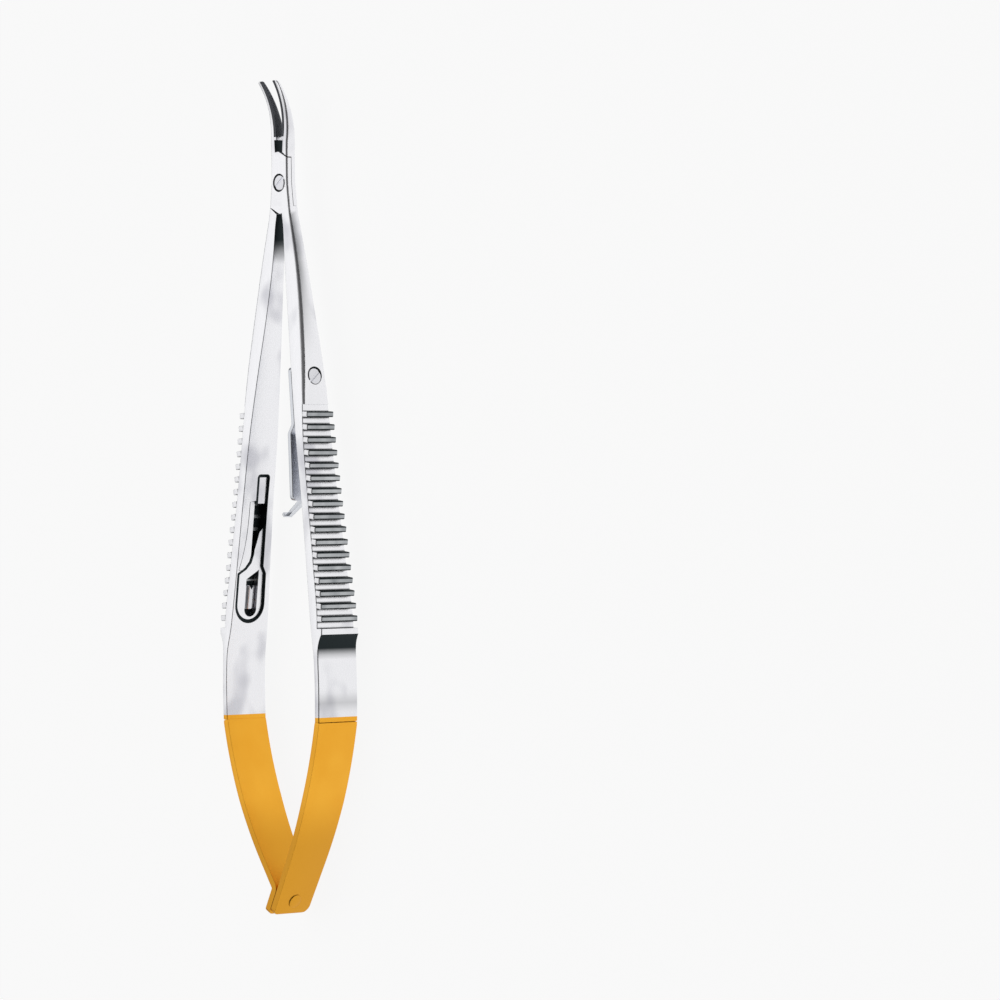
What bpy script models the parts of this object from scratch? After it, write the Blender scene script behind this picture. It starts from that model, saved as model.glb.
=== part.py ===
"""Micro needle holder: lap-jointed halves with curved, carbide-lined jaws, ribbed handles, a leaf lock and a sprung tail.

The instrument lies on its side edges. X is across the handles, Y points to the jaws and Z is up, along the pivot.
Sizes are in millimetres. "Distance" runs along the instrument from the pivot towards the tail, "reach" towards the tips.
"""

import math

import bmesh
import bpy
from mathutils import Matrix, Vector

MM = 0.001

# Clearances
RUNNING_FIT = 0.10  # between pieces that turn on each other
SEAT_FIT = 0.08  # between pieces that are brazed, welded or screwed together

# Jaws
JAW_REACH = 17.0  # pivot to tips
JAW_TIP_DEPTH = 0.60
JAW_BASE_DEPTH = 2.0
JAW_TAPER_LENGTH = 10.1  # the part that tapers and curves
JAW_CURVE_RADIUS = 14.8
JAW_CURVE_LENGTH = 9.1
JAW_TIP_THICKNESS = 1.25
JAW_EDGE = 0.38
JAW_MEET_GAP = 0.10  # between the closed gripping faces
JAW_OPENING = 8.5  # degrees between the gripping faces at rest

# Carbide inserts
INSERT_THICKNESS = 0.50
INSERT_HEEL = 7.8  # reach of the heel
HEEL_STEP_LENGTH = 0.5
HEEL_STEP_RELIEF = 0.45  # how far the jaw stands back behind the step

# Lap joint and its screw
JOINT_WIDTH = 4.2
SHOULDER_RADIUS = 5.2
SHOULDER_SLANT = 27.0  # degrees by which the shoulders fall away towards the joint's sides
JOINT_EDGE = 0.36
PIVOT_HEAD_DIAMETER = 2.6
PIVOT_HEAD_HEIGHT = 0.50
PIVOT_SHANK_DIAMETER = 1.5
SCREW_SLOT_WIDTH = 0.40
SCREW_SLOT_DEPTH = 0.25

# Handles: distance, inner face, outer face, depth, rounding of the outer edges
HANDLE_STATIONS = (
    (0.0, 0.30, 2.10, 2.00, 0.36),
    (5.2, 0.62, 2.75, 2.05, 0.40),
    (7.2, 0.95, 3.25, 2.14, 0.50),
    (12.9, 1.45, 4.60, 2.50, 0.62),
    (19.0, 2.25, 5.75, 3.10, 0.70),
    (25.0, 3.15, 6.65, 3.90, 0.75),
    (31.0, 4.15, 7.40, 4.80, 0.70),
    (37.0, 5.10, 7.85, 5.60, 0.50),
    (42.5, 5.95, 8.30, 6.20, 0.35),
    (53.3, 7.55, 9.65, 6.70, 0.35),
    (64.0, 8.95, 11.15, 7.30, 0.35),
    (74.5, 10.35, 12.40, 8.05, 0.35),
    (79.8, 11.30, 12.42, 8.50, 0.20),
    (85.0, 11.50, 12.55, 8.50, 0.20),
    (90.2, 11.42, 12.47, 8.50, 0.20),
)
INNER_EDGE = 0.12

# Ribs of the finger grip
RIB_COUNT = 18
RIB_PITCH = 2.13
RIB_FIRST = 38.5
RIB_LENGTH = 0.95
RIB_HEIGHT = 0.85
RIB_FLANK = 0.10
RIB_EDGE = 0.50
GROOVE_CUT = 0.08  # how far the grooves are milled below the plain face
GROOVE_EDGE = 0.15
RUNOUT_LENGTH = 2.6  # hollow sweep from the last rib down to the thin tail

# Spring leaves
LEAF_THICKNESS = 1.15
LEAF_DEPTH = 8.40
LEAF_TAIL_DEPTH = 7.40
LEAF_EDGE = 0.15
LEAF_START_ANGLE = 10.5  # degrees inwards at the handle
RIGHT_LEAF_END_ANGLE = 28.0
LEFT_LEAF_END_ANGLE = 31.5
LEAF_BOW_LENGTH = 25.0
LEAF_TAIL_LENGTH = 9.8  # straight run of the right leaf after the bow
FOOT_BEND_RADIUS = 0.9
TAIL_CORNER_RADIUS = 1.4
RIVET_DIAMETER = 1.5
RIVET_HEAD_DIAMETER = 2.4
RIVET_HEAD_HEIGHT = 0.22
RIVET_FROM_END = 2.4

# Lock leaf and hook, on the inner face of the right handle
LOCK_SCREW_DISTANCE = 32.6
LOCK_HEAD_DIAMETER = 2.7
LOCK_HEAD_HEIGHT = 0.60
LOCK_SHANK_DIAMETER = 1.4
LOCK_LEAF_TOP = 31.0
LOCK_BEND = 40.3
LOCK_BEND_LENGTH = 2.2
LOCK_END = 53.4
LOCK_LEAF_THICKNESS = 0.85
LOCK_LEAF_DEPTH = 5.80
LOCK_LEAF_TOP_DEPTH = 4.60
LOCK_STANDOFF = 2.15  # inner face of the leaf to the handle just after the bend
LOCK_END_STANDOFF = 3.40
HOOK_WIDTH = 0.9  # along Z
HOOK_THICKNESS = 1.0
HOOK_ENTRY = 1.55  # how deep the closed hook stands in the catch
HOOK_BARB_REACH = 0.95
HOOK_BARB_LENGTH = 0.50
HOOK_TIP_DISTANCE = 55.9
HOOK_SIDE = 0.30  # gap from the hook to the far wall of the catch

# Catch in the left handle, counted from CATCH_TOP along the inner face
CATCH_TOP = 49.0
CATCH_BOTTOM = 74.1
CHANNEL_FAR = -2.00
CHANNEL_NEAR = 0.45
RECESS_DEPTH = 0.95
SLOT_DEPTH = 1.75
LIP_TOP = 4.3
LIP_NEAR = 2.50
LIP_SLOPE_DEPTH = 0.45
LIP_BACK = 0.90
LIP_POCKET_WIDTH = 1.25
LIP_POCKET_LENGTH = 4.2
SLOT_TOP = 4.9
SLOT_BOTTOM = 14.6
LOBE_FAR = -2.75
LOBE_NEAR = 3.35
LOBE_SHOULDER = 13.4
WINDOW_FAR = -1.60
WINDOW_NEAR = 1.00
WINDOW_TOP = 17.0
WINDOW_MARGIN = 0.9
SADDLE_TOP = 18.9
SADDLE_LENGTH = 4.0
SADDLE_HEIGHT = 1.0
SADDLE_NOTCH_DEPTH = 0.7

CORNER_STEPS = 3
ROUND_STEPS = 40
LAP_STEPS = 120

MID_HEIGHT = HANDLE_STATIONS[-1][3] / 2
HANDLE_END = HANDLE_STATIONS[-1][0]
RIB_END = RIB_FIRST + (RIB_COUNT - 1) * RIB_PITCH + RIB_LENGTH
HALF_OPENING = math.radians(JAW_OPENING / 2)
GRIP_START = RIB_FIRST - (RIB_PITCH - RIB_LENGTH)


# Building blocks


def material(name, colour, metallic, roughness):
    made = bpy.data.materials.new(name)
    made.use_nodes = True
    surface = made.node_tree.nodes["Principled BSDF"]
    surface.inputs["Base Color"].default_value = (*colour, 1.0)
    surface.inputs["Metallic"].default_value = metallic
    surface.inputs["Roughness"].default_value = roughness
    made.diffuse_color = (*colour, 1.0)
    return made


def finish(name, bm, surface=None, parent=None, matrix=None):
    """Turns a millimetre bmesh into an object. Without a surface it is a hidden cutter or form."""
    bmesh.ops.recalc_face_normals(bm, faces=bm.faces)
    bmesh.ops.scale(bm, vec=Vector((MM, MM, MM)), verts=bm.verts)
    mesh = bpy.data.meshes.new(name)
    bm.to_mesh(mesh)
    bm.free()
    mesh.shade_smooth()
    mesh.set_sharp_from_angle(angle=math.radians(32))
    obj = bpy.data.objects.new(name, mesh)
    bpy.context.scene.collection.objects.link(obj)
    if surface is None:
        obj.hide_render = True
        obj.display_type = "WIRE"
    else:
        mesh.materials.append(surface)
    obj.parent = parent
    if matrix is not None:
        obj.matrix_basis = matrix
    return obj


def boolean(obj, other, operation):
    step = obj.modifiers.new(f"{operation.lower()}_{other.name}", "BOOLEAN")
    step.operation = operation
    step.solver = "EXACT"
    step.object = other


def frame_at(origin, x_axis, y_axis):
    """Placement whose local X and Y run along the given directions, with its origin given in millimetres."""
    x_axis = Vector(x_axis).normalized()
    z_axis = x_axis.cross(Vector(y_axis)).normalized()
    turn = Matrix((x_axis, z_axis.cross(x_axis), z_axis)).transposed().to_4x4()
    return Matrix.Translation(Vector(origin) * MM) @ turn


def loft(rings):
    """Closed skin through rings of equally many points, capped at both ends."""
    bm = bmesh.new()
    loops = [[bm.verts.new(point) for point in ring] for ring in rings]
    count = len(loops[0])
    for low, high in zip(loops, loops[1:], strict=False):
        for i in range(count):
            j = (i + 1) % count
            bm.faces.new((low[i], low[j], high[j], high[i]))
    bm.faces.new(loops[0])
    bm.faces.new(loops[-1])
    return bm


def prism(outline, low, high):
    """Outline in local X and Y, extruded along local Z."""
    return loft([[Vector((x, y, z)) for x, y in outline] for z in (low, high)])


def turned(profile):
    """Solid of revolution about local Z from (radius, height) points."""
    turns = [2 * math.pi * i / ROUND_STEPS for i in range(ROUND_STEPS)]
    return loft([[Vector((r * math.cos(a), r * math.sin(a), z)) for a in turns] for r, z in profile])


def rounded(inner, outer, low, high, inner_edge, outer_edge):
    """Rectangle from inner to outer and low to high, with its corners rounded. Returns (across, height) points."""
    corners = (
        (outer, high, -outer_edge, -outer_edge, 0),
        (inner, high, inner_edge, -inner_edge, 90),
        (inner, low, inner_edge, inner_edge, 180),
        (outer, low, -outer_edge, outer_edge, 270),
    )
    points = []
    for across, height, dx, dz, start in corners:
        for i in range(CORNER_STEPS + 1):
            turn = math.radians(start + 90 * i / CORNER_STEPS)
            radius = abs(dx)
            points.append((across + dx + radius * math.cos(turn), height + dz + radius * math.sin(turn)))
    return points


def slope(before, here, after, k):
    """Slope of column k at a station: the mean of its two sides, and level at a turning point."""
    left = (here[k] - before[k]) / (here[0] - before[0]) if here[0] > before[0] else None
    right = (after[k] - here[k]) / (after[0] - here[0]) if after[0] > here[0] else None
    if left is None or right is None:
        return right if left is None else left
    return 2 * left * right / (left + right) if left * right > 0 else 0.0


def smooth(table, distance):
    """Row of the table at a distance, on a smooth curve through its stations."""
    distance = min(max(distance, table[0][0]), table[-1][0])
    i = next(k for k in range(len(table) - 1) if table[k + 1][0] >= distance)
    before, here, after, beyond = table[max(i - 1, 0)], table[i], table[i + 1], table[min(i + 2, len(table) - 1)]
    span = after[0] - here[0]
    t = (distance - here[0]) / span
    return [
        (2 * t**3 - 3 * t**2 + 1) * here[k]
        + (t**3 - 2 * t**2 + t) * slope(before, here, after, k) * span
        + (3 * t**2 - 2 * t**3) * after[k]
        + (t**3 - t**2) * slope(here, after, beyond, k) * span
        for k in range(1, len(here))
    ]


def steps(start, end, length):
    """Evenly spaced values from start to end, about a length apart."""
    count = max(1, math.ceil(abs(end - start) / length))
    return [start + (end - start) * i / count for i in range(count + 1)]


# Handles


def rib_rise(distance):
    """Height of the grip above the handle's outer face."""
    along = distance - RIB_FIRST
    last = RIB_COUNT - 1
    rib = min(last, max(0, round((along - RIB_LENGTH / 2) / RIB_PITCH)))
    inside = min(along - rib * RIB_PITCH, rib * RIB_PITCH + RIB_LENGTH - along)
    if rib == last and inside < RIB_LENGTH / 2 and along > rib * RIB_PITCH + RIB_LENGTH / 2:
        left = 1 - (distance - RIB_END) / RUNOUT_LENGTH
        return RIB_HEIGHT * min(1.0, max(0.0, left)) ** 2
    return RIB_HEIGHT * min(1.0, max(0.0, inside / RIB_FLANK))


def handle_stops():
    """Distances of the handle's sections, with four at each rib."""
    stops = steps(0, GRIP_START, 2.2) + [GRIP_START + 0.02]
    for rib in range(RIB_COUNT):
        start = RIB_FIRST + rib * RIB_PITCH
        stops += [start, start + RIB_FLANK, start + RIB_LENGTH - RIB_FLANK, start + RIB_LENGTH]
    stops += steps(RIB_END, RIB_END + RUNOUT_LENGTH, 0.55)
    stops += steps(RIB_END + RUNOUT_LENGTH, HANDLE_END, 1.6)
    return sorted({round(stop, 4) for stop in stops if stop <= HANDLE_END})


def handle_form(side):
    rings = []
    for distance in handle_stops():
        inner, outer, depth, edge = smooth(HANDLE_STATIONS, distance)
        if GRIP_START < distance < RIB_END + RUNOUT_LENGTH:
            rise = rib_rise(distance)
            outer += rise - GROOVE_CUT * (1 - rise / RIB_HEIGHT) * (distance < RIB_END)
            edge = GROOVE_EDGE + (RIB_EDGE - GROOVE_EDGE) * rise / RIB_HEIGHT
        outline = rounded(inner, outer, -depth / 2, depth / 2, INNER_EDGE, edge)
        rings.append([Vector((side * x, -distance, z)) for x, z in outline])
    return loft(rings)


# Jaws


def jaw_rise(reach):
    """How far the jaw has curved up at a reach."""
    past = max(0.0, reach - (JAW_REACH - JAW_CURVE_LENGTH))
    return JAW_CURVE_RADIUS - math.sqrt(JAW_CURVE_RADIUS**2 - past**2)


def jaw_depth(reach):
    share = min(1.0, (JAW_REACH - reach) / JAW_TAPER_LENGTH)
    return JAW_TIP_DEPTH + (JAW_BASE_DEPTH - JAW_TIP_DEPTH) * share


def grip_face(reach):
    """Distance of a gripping face from the middle when the jaws are open."""
    return reach * math.tan(HALF_OPENING) + JAW_MEET_GAP / 2


def jaw_outer(reach):
    share = min(1.0, max(0.0, (reach - SHOULDER_RADIUS) / (JAW_REACH - SHOULDER_RADIUS)))
    base = JOINT_WIDTH / 2
    tip = grip_face(JAW_REACH) + JAW_TIP_THICKNESS
    return base + (tip - base) * share


def jaw_ring(side, reach, inner, outer, depth, edge):
    middle = jaw_rise(reach)
    outline = rounded(inner, outer, middle - depth / 2, middle + depth / 2, min(INNER_EDGE, edge / 2), edge)
    return [Vector((side * x, reach, z)) for x, z in outline]


def jaw_form(side):
    """Steel jaw: root in the joint, relief, heel step, then the seat of the insert up to the rounded tip."""
    seat = INSERT_THICKNESS + SEAT_FIT
    heel = INSERT_HEEL - SEAT_FIT
    step = heel - HEEL_STEP_LENGTH
    profile = [(reach, HEEL_STEP_RELIEF) for reach in (0.0, SHOULDER_RADIUS, step)]
    profile += [(step + 0.001, 0.0), (heel, 0.0)]
    profile += [(reach, seat) for reach in steps(heel + 0.001, JAW_REACH - 0.5, 0.8)]
    rings = []
    for reach, relief in profile:
        edge = min(JAW_EDGE, 0.4 * jaw_depth(reach)) if reach > SHOULDER_RADIUS else JOINT_EDGE
        inner = grip_face(reach) + relief
        rings.append(jaw_ring(side, reach, inner, jaw_outer(reach), jaw_depth(reach), edge))
    for back, share in ((0.3, 0.95), (0.12, 0.8), (0.0, 0.5)):
        reach = JAW_REACH - back
        inner = grip_face(reach) + seat
        outer = inner + (jaw_outer(reach) - inner) * share
        depth = jaw_depth(reach) * share
        rings.append(jaw_ring(side, reach, inner, outer, depth, 0.4 * min(depth, outer - inner)))
    return loft(rings)


def insert_form(side):
    rings = []
    for reach in steps(INSERT_HEEL, JAW_REACH - 0.12, 0.8) + [JAW_REACH]:
        share = 0.5 if reach == JAW_REACH else 1.0
        inner = grip_face(reach)
        depth = jaw_depth(reach) * share - 0.04
        rings.append(jaw_ring(side, reach, inner, inner + INSERT_THICKNESS, depth, 0.06))
    return loft(rings)


# Lap joint


def shoulder_outline(side, swing, fit):
    """Outline of the lap from above: a circle with a slanting shoulder ahead of the pivot and another behind it.

    The swing turns the slants on, so that the room for a plate clears it all the way to closed.
    """
    slant = math.radians(SHOULDER_SLANT)
    points = []
    for i in range(LAP_STEPS):
        turn = 2 * math.pi * i / LAP_STEPS
        from_shoulder = (turn - swing + math.pi / 2) % math.pi - math.pi / 2
        flat = math.cos(from_shoulder - slant) if from_shoulder > 0 else 0.0
        radius = min(SHOULDER_RADIUS, SHOULDER_RADIUS * math.cos(slant) / flat if flat > 0 else SHOULDER_RADIUS) + fit
        points.append((side * radius * math.sin(turn), radius * math.cos(turn)))
    return points


def joint_plate(side, face):
    """Half-depth plate of the joint: a rounded bar trimmed to its shoulders and to one side of the lap."""
    rings = []
    for distance in steps(-SHOULDER_RADIUS - 1, SHOULDER_RADIUS + 1, 1.2):
        _, outer, depth, edge = smooth(HANDLE_STATIONS, max(0.0, distance))
        outline = rounded(-outer, outer, -depth / 2, depth / 2, edge, edge)
        rings.append([Vector((side * x, -distance, z)) for x, z in outline])
    trim = prism(shoulder_outline(side, 0.0, 0.0), face * RUNNING_FIT / 2, face * JAW_BASE_DEPTH)
    plate = finish(f"plate_form_{face}", loft(rings), parent=pivot)
    boolean(plate, finish(f"shoulder_trim_{face}", trim, parent=pivot), "INTERSECT")
    return plate


def lap_cutter(side, face):
    """Room for the other half's plate, which turns between this half's shoulders."""
    room = prism(
        shoulder_outline(-side, math.radians(JAW_OPENING), RUNNING_FIT), face * RUNNING_FIT / 2, -face * JAW_BASE_DEPTH
    )
    return finish(f"lap_cutter_{face}", room, parent=pivot)


def half(name, side, face, surface):
    """One forged half: handle on one side, jaw on the other, joined by the plate on one face of the lap."""
    body = finish(name, handle_form(side), surface, pivot)
    jaw = finish(f"jaw_form_{face}", jaw_form(-side), parent=pivot)
    boolean(body, jaw, "UNION")
    boolean(body, lap_cutter(side, face), "DIFFERENCE")
    boolean(body, joint_plate(side, face), "UNION")
    return body


def screw(name, head_diameter, head_height, shank_diameter, length, matrix, surface):
    """Slotted cheese-head screw along local Z, with the top of its head at the origin."""
    head, shank = head_diameter / 2, shank_diameter / 2
    profile = [(shank, -length), (shank, -head_height), (head, -head_height), (head, -0.08), (head - 0.08, 0.0)]
    body = finish(name, turned(profile), surface, pivot, matrix)
    reach, width = head_diameter, SCREW_SLOT_WIDTH / 2
    slot = prism([(-reach, -width), (reach, -width), (reach, width), (-reach, width)], -SCREW_SLOT_DEPTH, 1.0)
    boolean(body, finish(f"{name}_slot", slot, parent=pivot, matrix=matrix), "DIFFERENCE")
    return body


def screw_hole(name, head_diameter, head_height, shank_diameter, matrix, fit):
    """Cutter for the same screw: a counterbore and a through hole."""
    head, shank = head_diameter / 2 + fit, shank_diameter / 2 + fit
    seat = -head_height - fit
    return finish(name, turned([(shank, -20.0), (shank, seat), (head, seat), (head, 5.0)]), parent=pivot, matrix=matrix)


# Catch


def inner_face(distance):
    return smooth(HANDLE_STATIONS, distance)[0]


def catch_frame():
    """Placement on the left handle's inner face: local X into the handle, local Y towards the tail."""
    top = Vector((-inner_face(CATCH_TOP), -CATCH_TOP, 0.0))
    bottom = Vector((-inner_face(CATCH_BOTTOM), -CATCH_BOTTOM, 0.0))
    along = (bottom - top).normalized()
    return frame_at(top, Vector((along.y, -along.x, 0.0)), along)


def arc_turns(start, end, count):
    return [math.radians(start + (end - start) * i / count) for i in range(count + 1)]


def arc(centre_y, centre_z, radius, start, end, count=8):
    return [(centre_y + radius * math.cos(a), centre_z + radius * math.sin(a)) for a in arc_turns(start, end, count)]


def catch_cut(name, outline, low, high):
    """Cutter whose outline lies in (along, height) on the inner face, between two depths into the handle."""
    rings = [[Vector((depth, y, z)) for y, z in outline] for depth in (low, high)]
    return finish(name, loft(rings), parent=pivot, matrix=catch_frame())


def catch_cutters():
    length = CATCH_BOTTOM - CATCH_TOP
    corner = 0.5
    lobe_radius = (LOBE_NEAR - LOBE_FAR) / 2
    lobe_middle = (LOBE_NEAR + LOBE_FAR) / 2
    lobe_end = length - lobe_radius
    recess = arc(corner, CHANNEL_NEAR - corner, corner, 90, 180, 3)
    recess += arc(corner, CHANNEL_FAR + corner, corner, 180, 270, 3)
    recess += [(LOBE_SHOULDER + 2.2, CHANNEL_FAR), (LOBE_SHOULDER + 3.4, LOBE_FAR + 0.1)]
    recess += arc(lobe_end, lobe_middle, lobe_radius, -90, 90, 14)
    recess += [(LOBE_SHOULDER + 3.4, LOBE_NEAR), (LOBE_SHOULDER + 3.1, LOBE_NEAR - 0.4)]
    recess += [(LOBE_SHOULDER + 2.4, CHANNEL_NEAR + 1.3), (LOBE_SHOULDER + 1.4, CHANNEL_NEAR + 0.4)]
    recess += [(LOBE_SHOULDER, CHANNEL_NEAR)]
    yield catch_cut("catch_recess", recess, -2.0, RECESS_DEPTH)

    lip_end = LOBE_SHOULDER + 2.8
    slope = [(0.0, LIP_NEAR), (LIP_SLOPE_DEPTH, CHANNEL_NEAR), (-2.0, CHANNEL_NEAR), (-2.0, LIP_NEAR)]
    rings = [[Vector((depth, y, z)) for depth, z in slope] for y in (LIP_TOP, lip_end)]
    yield finish("catch_ramp", loft(rings), parent=pivot, matrix=catch_frame())

    slot = [(SLOT_TOP, CHANNEL_FAR), (SLOT_BOTTOM - 1.2, CHANNEL_FAR), (SLOT_BOTTOM, CHANNEL_FAR + 1.2)]
    slot += [(SLOT_BOTTOM, CHANNEL_NEAR - 0.4), (SLOT_BOTTOM - 0.4, CHANNEL_NEAR), (SLOT_TOP, CHANNEL_NEAR)]
    yield catch_cut("catch_slot", slot, -2.0, SLOT_DEPTH)

    near = CHANNEL_NEAR + LIP_POCKET_WIDTH
    low, high = SLOT_TOP, SLOT_TOP + LIP_POCKET_LENGTH
    pocket = [(low, CHANNEL_NEAR - 0.5), (high, CHANNEL_NEAR - 0.5), (high, near), (low, near)]
    yield catch_cut("lip_undercut", pocket, LIP_BACK, SLOT_DEPTH)

    bottom = length - WINDOW_MARGIN
    radius = (WINDOW_NEAR - WINDOW_FAR) / 2
    window = arc(bottom - radius, WINDOW_FAR + radius, radius, -90, 90, 10)
    window += [(WINDOW_TOP + 0.8, WINDOW_NEAR), (WINDOW_TOP - 0.8, WINDOW_FAR)]
    yield catch_cut("lobe_window", window, -2.0, SLOT_DEPTH)


def saddle(surface):
    """Half-round bar with a notched end, brazed to the floor of the lobe's window."""
    radius = (WINDOW_NEAR - WINDOW_FAR) / 2 - SEAT_FIT
    middle = (WINDOW_NEAR + WINDOW_FAR) / 2
    floor = SLOT_DEPTH - SEAT_FIT
    crown = [(floor - SADDLE_HEIGHT * math.sin(t), middle + radius * math.cos(t)) for t in arc_turns(0, 180, 12)]
    ends = (SADDLE_TOP, SADDLE_TOP + SADDLE_LENGTH)
    rings = [[Vector((depth, y, z)) for depth, z in crown] for y in ends]
    body = finish("catch_saddle", loft(rings), surface, pivot, catch_frame())
    notch = [(SADDLE_TOP - 0.5, middle - 0.8), (SADDLE_TOP - 0.5, middle + 0.8), (SADDLE_TOP + SADDLE_NOTCH_DEPTH, middle)]
    boolean(body, catch_cut("saddle_notch", notch, -1.0, SLOT_DEPTH + 1.0), "DIFFERENCE")
    return body


# Lock


def lock_axis():
    """Outward normal of the right handle's inner face at the lock screw."""
    slope = inner_face(LOCK_SCREW_DISTANCE + 1) - inner_face(LOCK_SCREW_DISTANCE - 1)
    return Vector((2.0, slope, 0.0)).normalized()


def lock_seat(distance):
    """Outer face of the lock leaf, which lies flat against the handle as far as the bend."""
    return inner_face(distance) - SEAT_FIT


def lock_standoff(distance):
    if distance <= LOCK_BEND:
        return 0.0
    first = LOCK_STANDOFF - LOCK_LEAF_THICKNESS
    last = LOCK_END_STANDOFF - LOCK_LEAF_THICKNESS
    bent = min(1.0, (distance - LOCK_BEND) / LOCK_BEND_LENGTH)
    along = max(0.0, distance - LOCK_BEND - LOCK_BEND_LENGTH) / (LOCK_END - LOCK_BEND - LOCK_BEND_LENGTH)
    return first * bent**2 * (3 - 2 * bent) + (last - first) * along


def closed_hook_tip():
    """Open position of the hook's tip, so that the closed hook stands HOOK_ENTRY deep in the left handle."""
    turn = math.radians(JAW_OPENING)
    x, distance = 0.0, HOOK_TIP_DISTANCE
    for _ in range(20):
        closed_x = x * math.cos(turn) - distance * math.sin(turn)
        closed_distance = distance * math.cos(turn) + x * math.sin(turn)
        x -= closed_x + inner_face(closed_distance) + HOOK_ENTRY
    return x, distance


def lock_leaf(surface):
    """Leaf spring with its hook. The hook stands on the far edge of the leaf and carries a barb at its nose."""
    top = LOCK_LEAF_TOP
    stops = steps(top, LOCK_BEND, 1.2) + steps(LOCK_BEND, LOCK_BEND + LOCK_BEND_LENGTH, 0.35)[1:]
    stops += steps(LOCK_BEND + LOCK_BEND_LENGTH, LOCK_END, 1.4)[1:] + [LOCK_END - 0.2, LOCK_END - 0.7]
    stops += [top + 0.15, top + 0.5]
    rings = []
    for distance in sorted(set(stops)):
        widening = min(1.0, max(0.0, (distance - top) / (LOCK_BEND - top)))
        depth = LOCK_LEAF_TOP_DEPTH + (LOCK_LEAF_DEPTH - LOCK_LEAF_TOP_DEPTH) * widening
        corner = 0.9
        end = min(distance - top, LOCK_END - distance)
        if end < corner:
            depth -= 2 * (corner - math.sqrt(corner**2 - (corner - end) ** 2))
        outer = lock_seat(distance) - lock_standoff(distance)
        outline = rounded(outer - LOCK_LEAF_THICKNESS, outer, -depth / 2, depth / 2, 0.1, 0.1)
        rings.append([Vector((x, -distance, z)) for x, z in outline])
    matrix = Matrix.Translation(Vector((0.0, 0.0, 0.0)))
    body = finish("lock_spring", loft(rings), surface, pivot, matrix)

    far = CHANNEL_FAR + HOOK_SIDE
    near = far + HOOK_WIDTH
    foot_distance = LOCK_END - 1.3
    foot_x = lock_seat(foot_distance) - lock_standoff(foot_distance) - LOCK_LEAF_THICKNESS / 2
    tip_x, tip_distance = closed_hook_tip()
    foot, tip = Vector((foot_x, -foot_distance)), Vector((tip_x, -tip_distance))
    ahead = (tip - foot).normalized()
    across = Vector((-ahead.y, ahead.x)) * HOOK_THICKNESS / 2
    barb = tip - ahead * HOOK_BARB_LENGTH
    stem = [foot - across * 1.3, foot + across * 1.3, tip + across * 0.7, tip - across * 0.7]
    nose = [barb - across * 0.9, barb + across * 0.9, tip + across * 0.7, tip - across * 0.7]
    hook = finish("hook_stem", prism([tuple(p) for p in stem], far, near), parent=pivot)
    barb_form = finish("hook_barb", prism([tuple(p) for p in nose], far + 0.1, near + HOOK_BARB_REACH), parent=pivot)
    boolean(body, hook, "UNION")
    boolean(body, barb_form, "UNION")
    return body


# Tail


def bow(end_angle):
    """Centre line of a spring leaf's bowed stretch: points as (across, distance, heading)."""
    x = smooth(HANDLE_STATIONS, HANDLE_END)[1] - LEAF_THICKNESS / 2
    distance = HANDLE_END + SEAT_FIT
    path = [(x, distance, math.radians(LEAF_START_ANGLE))]
    pieces = 16
    step = LEAF_BOW_LENGTH / pieces
    turn = math.radians(end_angle - LEAF_START_ANGLE) / pieces
    for _ in range(pieces):
        heading = path[-1][2] + turn / 2
        x -= math.sin(heading) * step
        distance += math.cos(heading) * step
        path.append((x, distance, heading + turn / 2))
    return path


def right_path():
    """Centre line of the right leaf, which runs straight on from its bow to the end of the tail."""
    path = bow(RIGHT_LEAF_END_ANGLE)
    x, distance, heading = path[-1]
    for run in steps(0, LEAF_TAIL_LENGTH, 1.2)[1:]:
        path.append((x - math.sin(heading) * run, distance + math.cos(heading) * run, heading))
    return path


def left_path():
    """Centre line of the left leaf, which crosses to the right one and bends to lie along it as a foot."""
    end_x, end_distance, lean = right_path()[-1]
    lap = LEAF_THICKNESS + SEAT_FIT
    end = Vector((end_x - math.cos(lean) * lap, end_distance - math.sin(lean) * lap))
    path = [(-x, distance, -heading) for x, distance, heading in bow(LEFT_LEAF_END_ANGLE)]
    start = Vector(path[-1][:2])
    come, go = path[-1][2], lean
    arriving = Vector((-math.sin(come), math.cos(come)))
    leaving = Vector((-math.sin(go), math.cos(go)))
    # Both straight runs meet at the corner, which the bend rounds off.
    run = (end - start).cross(leaving) / arriving.cross(leaving)
    tangent = FOOT_BEND_RADIUS * math.tan((go - come) / 2)
    bend_start = start + arriving * (run - tangent)
    centre = bend_start - Vector((math.cos(come), math.sin(come))) * FOOT_BEND_RADIUS
    for i in range(7):
        heading = come + (go - come) * i / 6
        spot = centre + Vector((math.cos(heading), math.sin(heading))) * FOOT_BEND_RADIUS
        path.append((spot.x, spot.y, heading))
    first = Vector(path[-1][:2])
    for share in (0.5, 1.0):
        spot = first.lerp(end, share)
        path.append((spot.x, spot.y, go))
    return path


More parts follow.
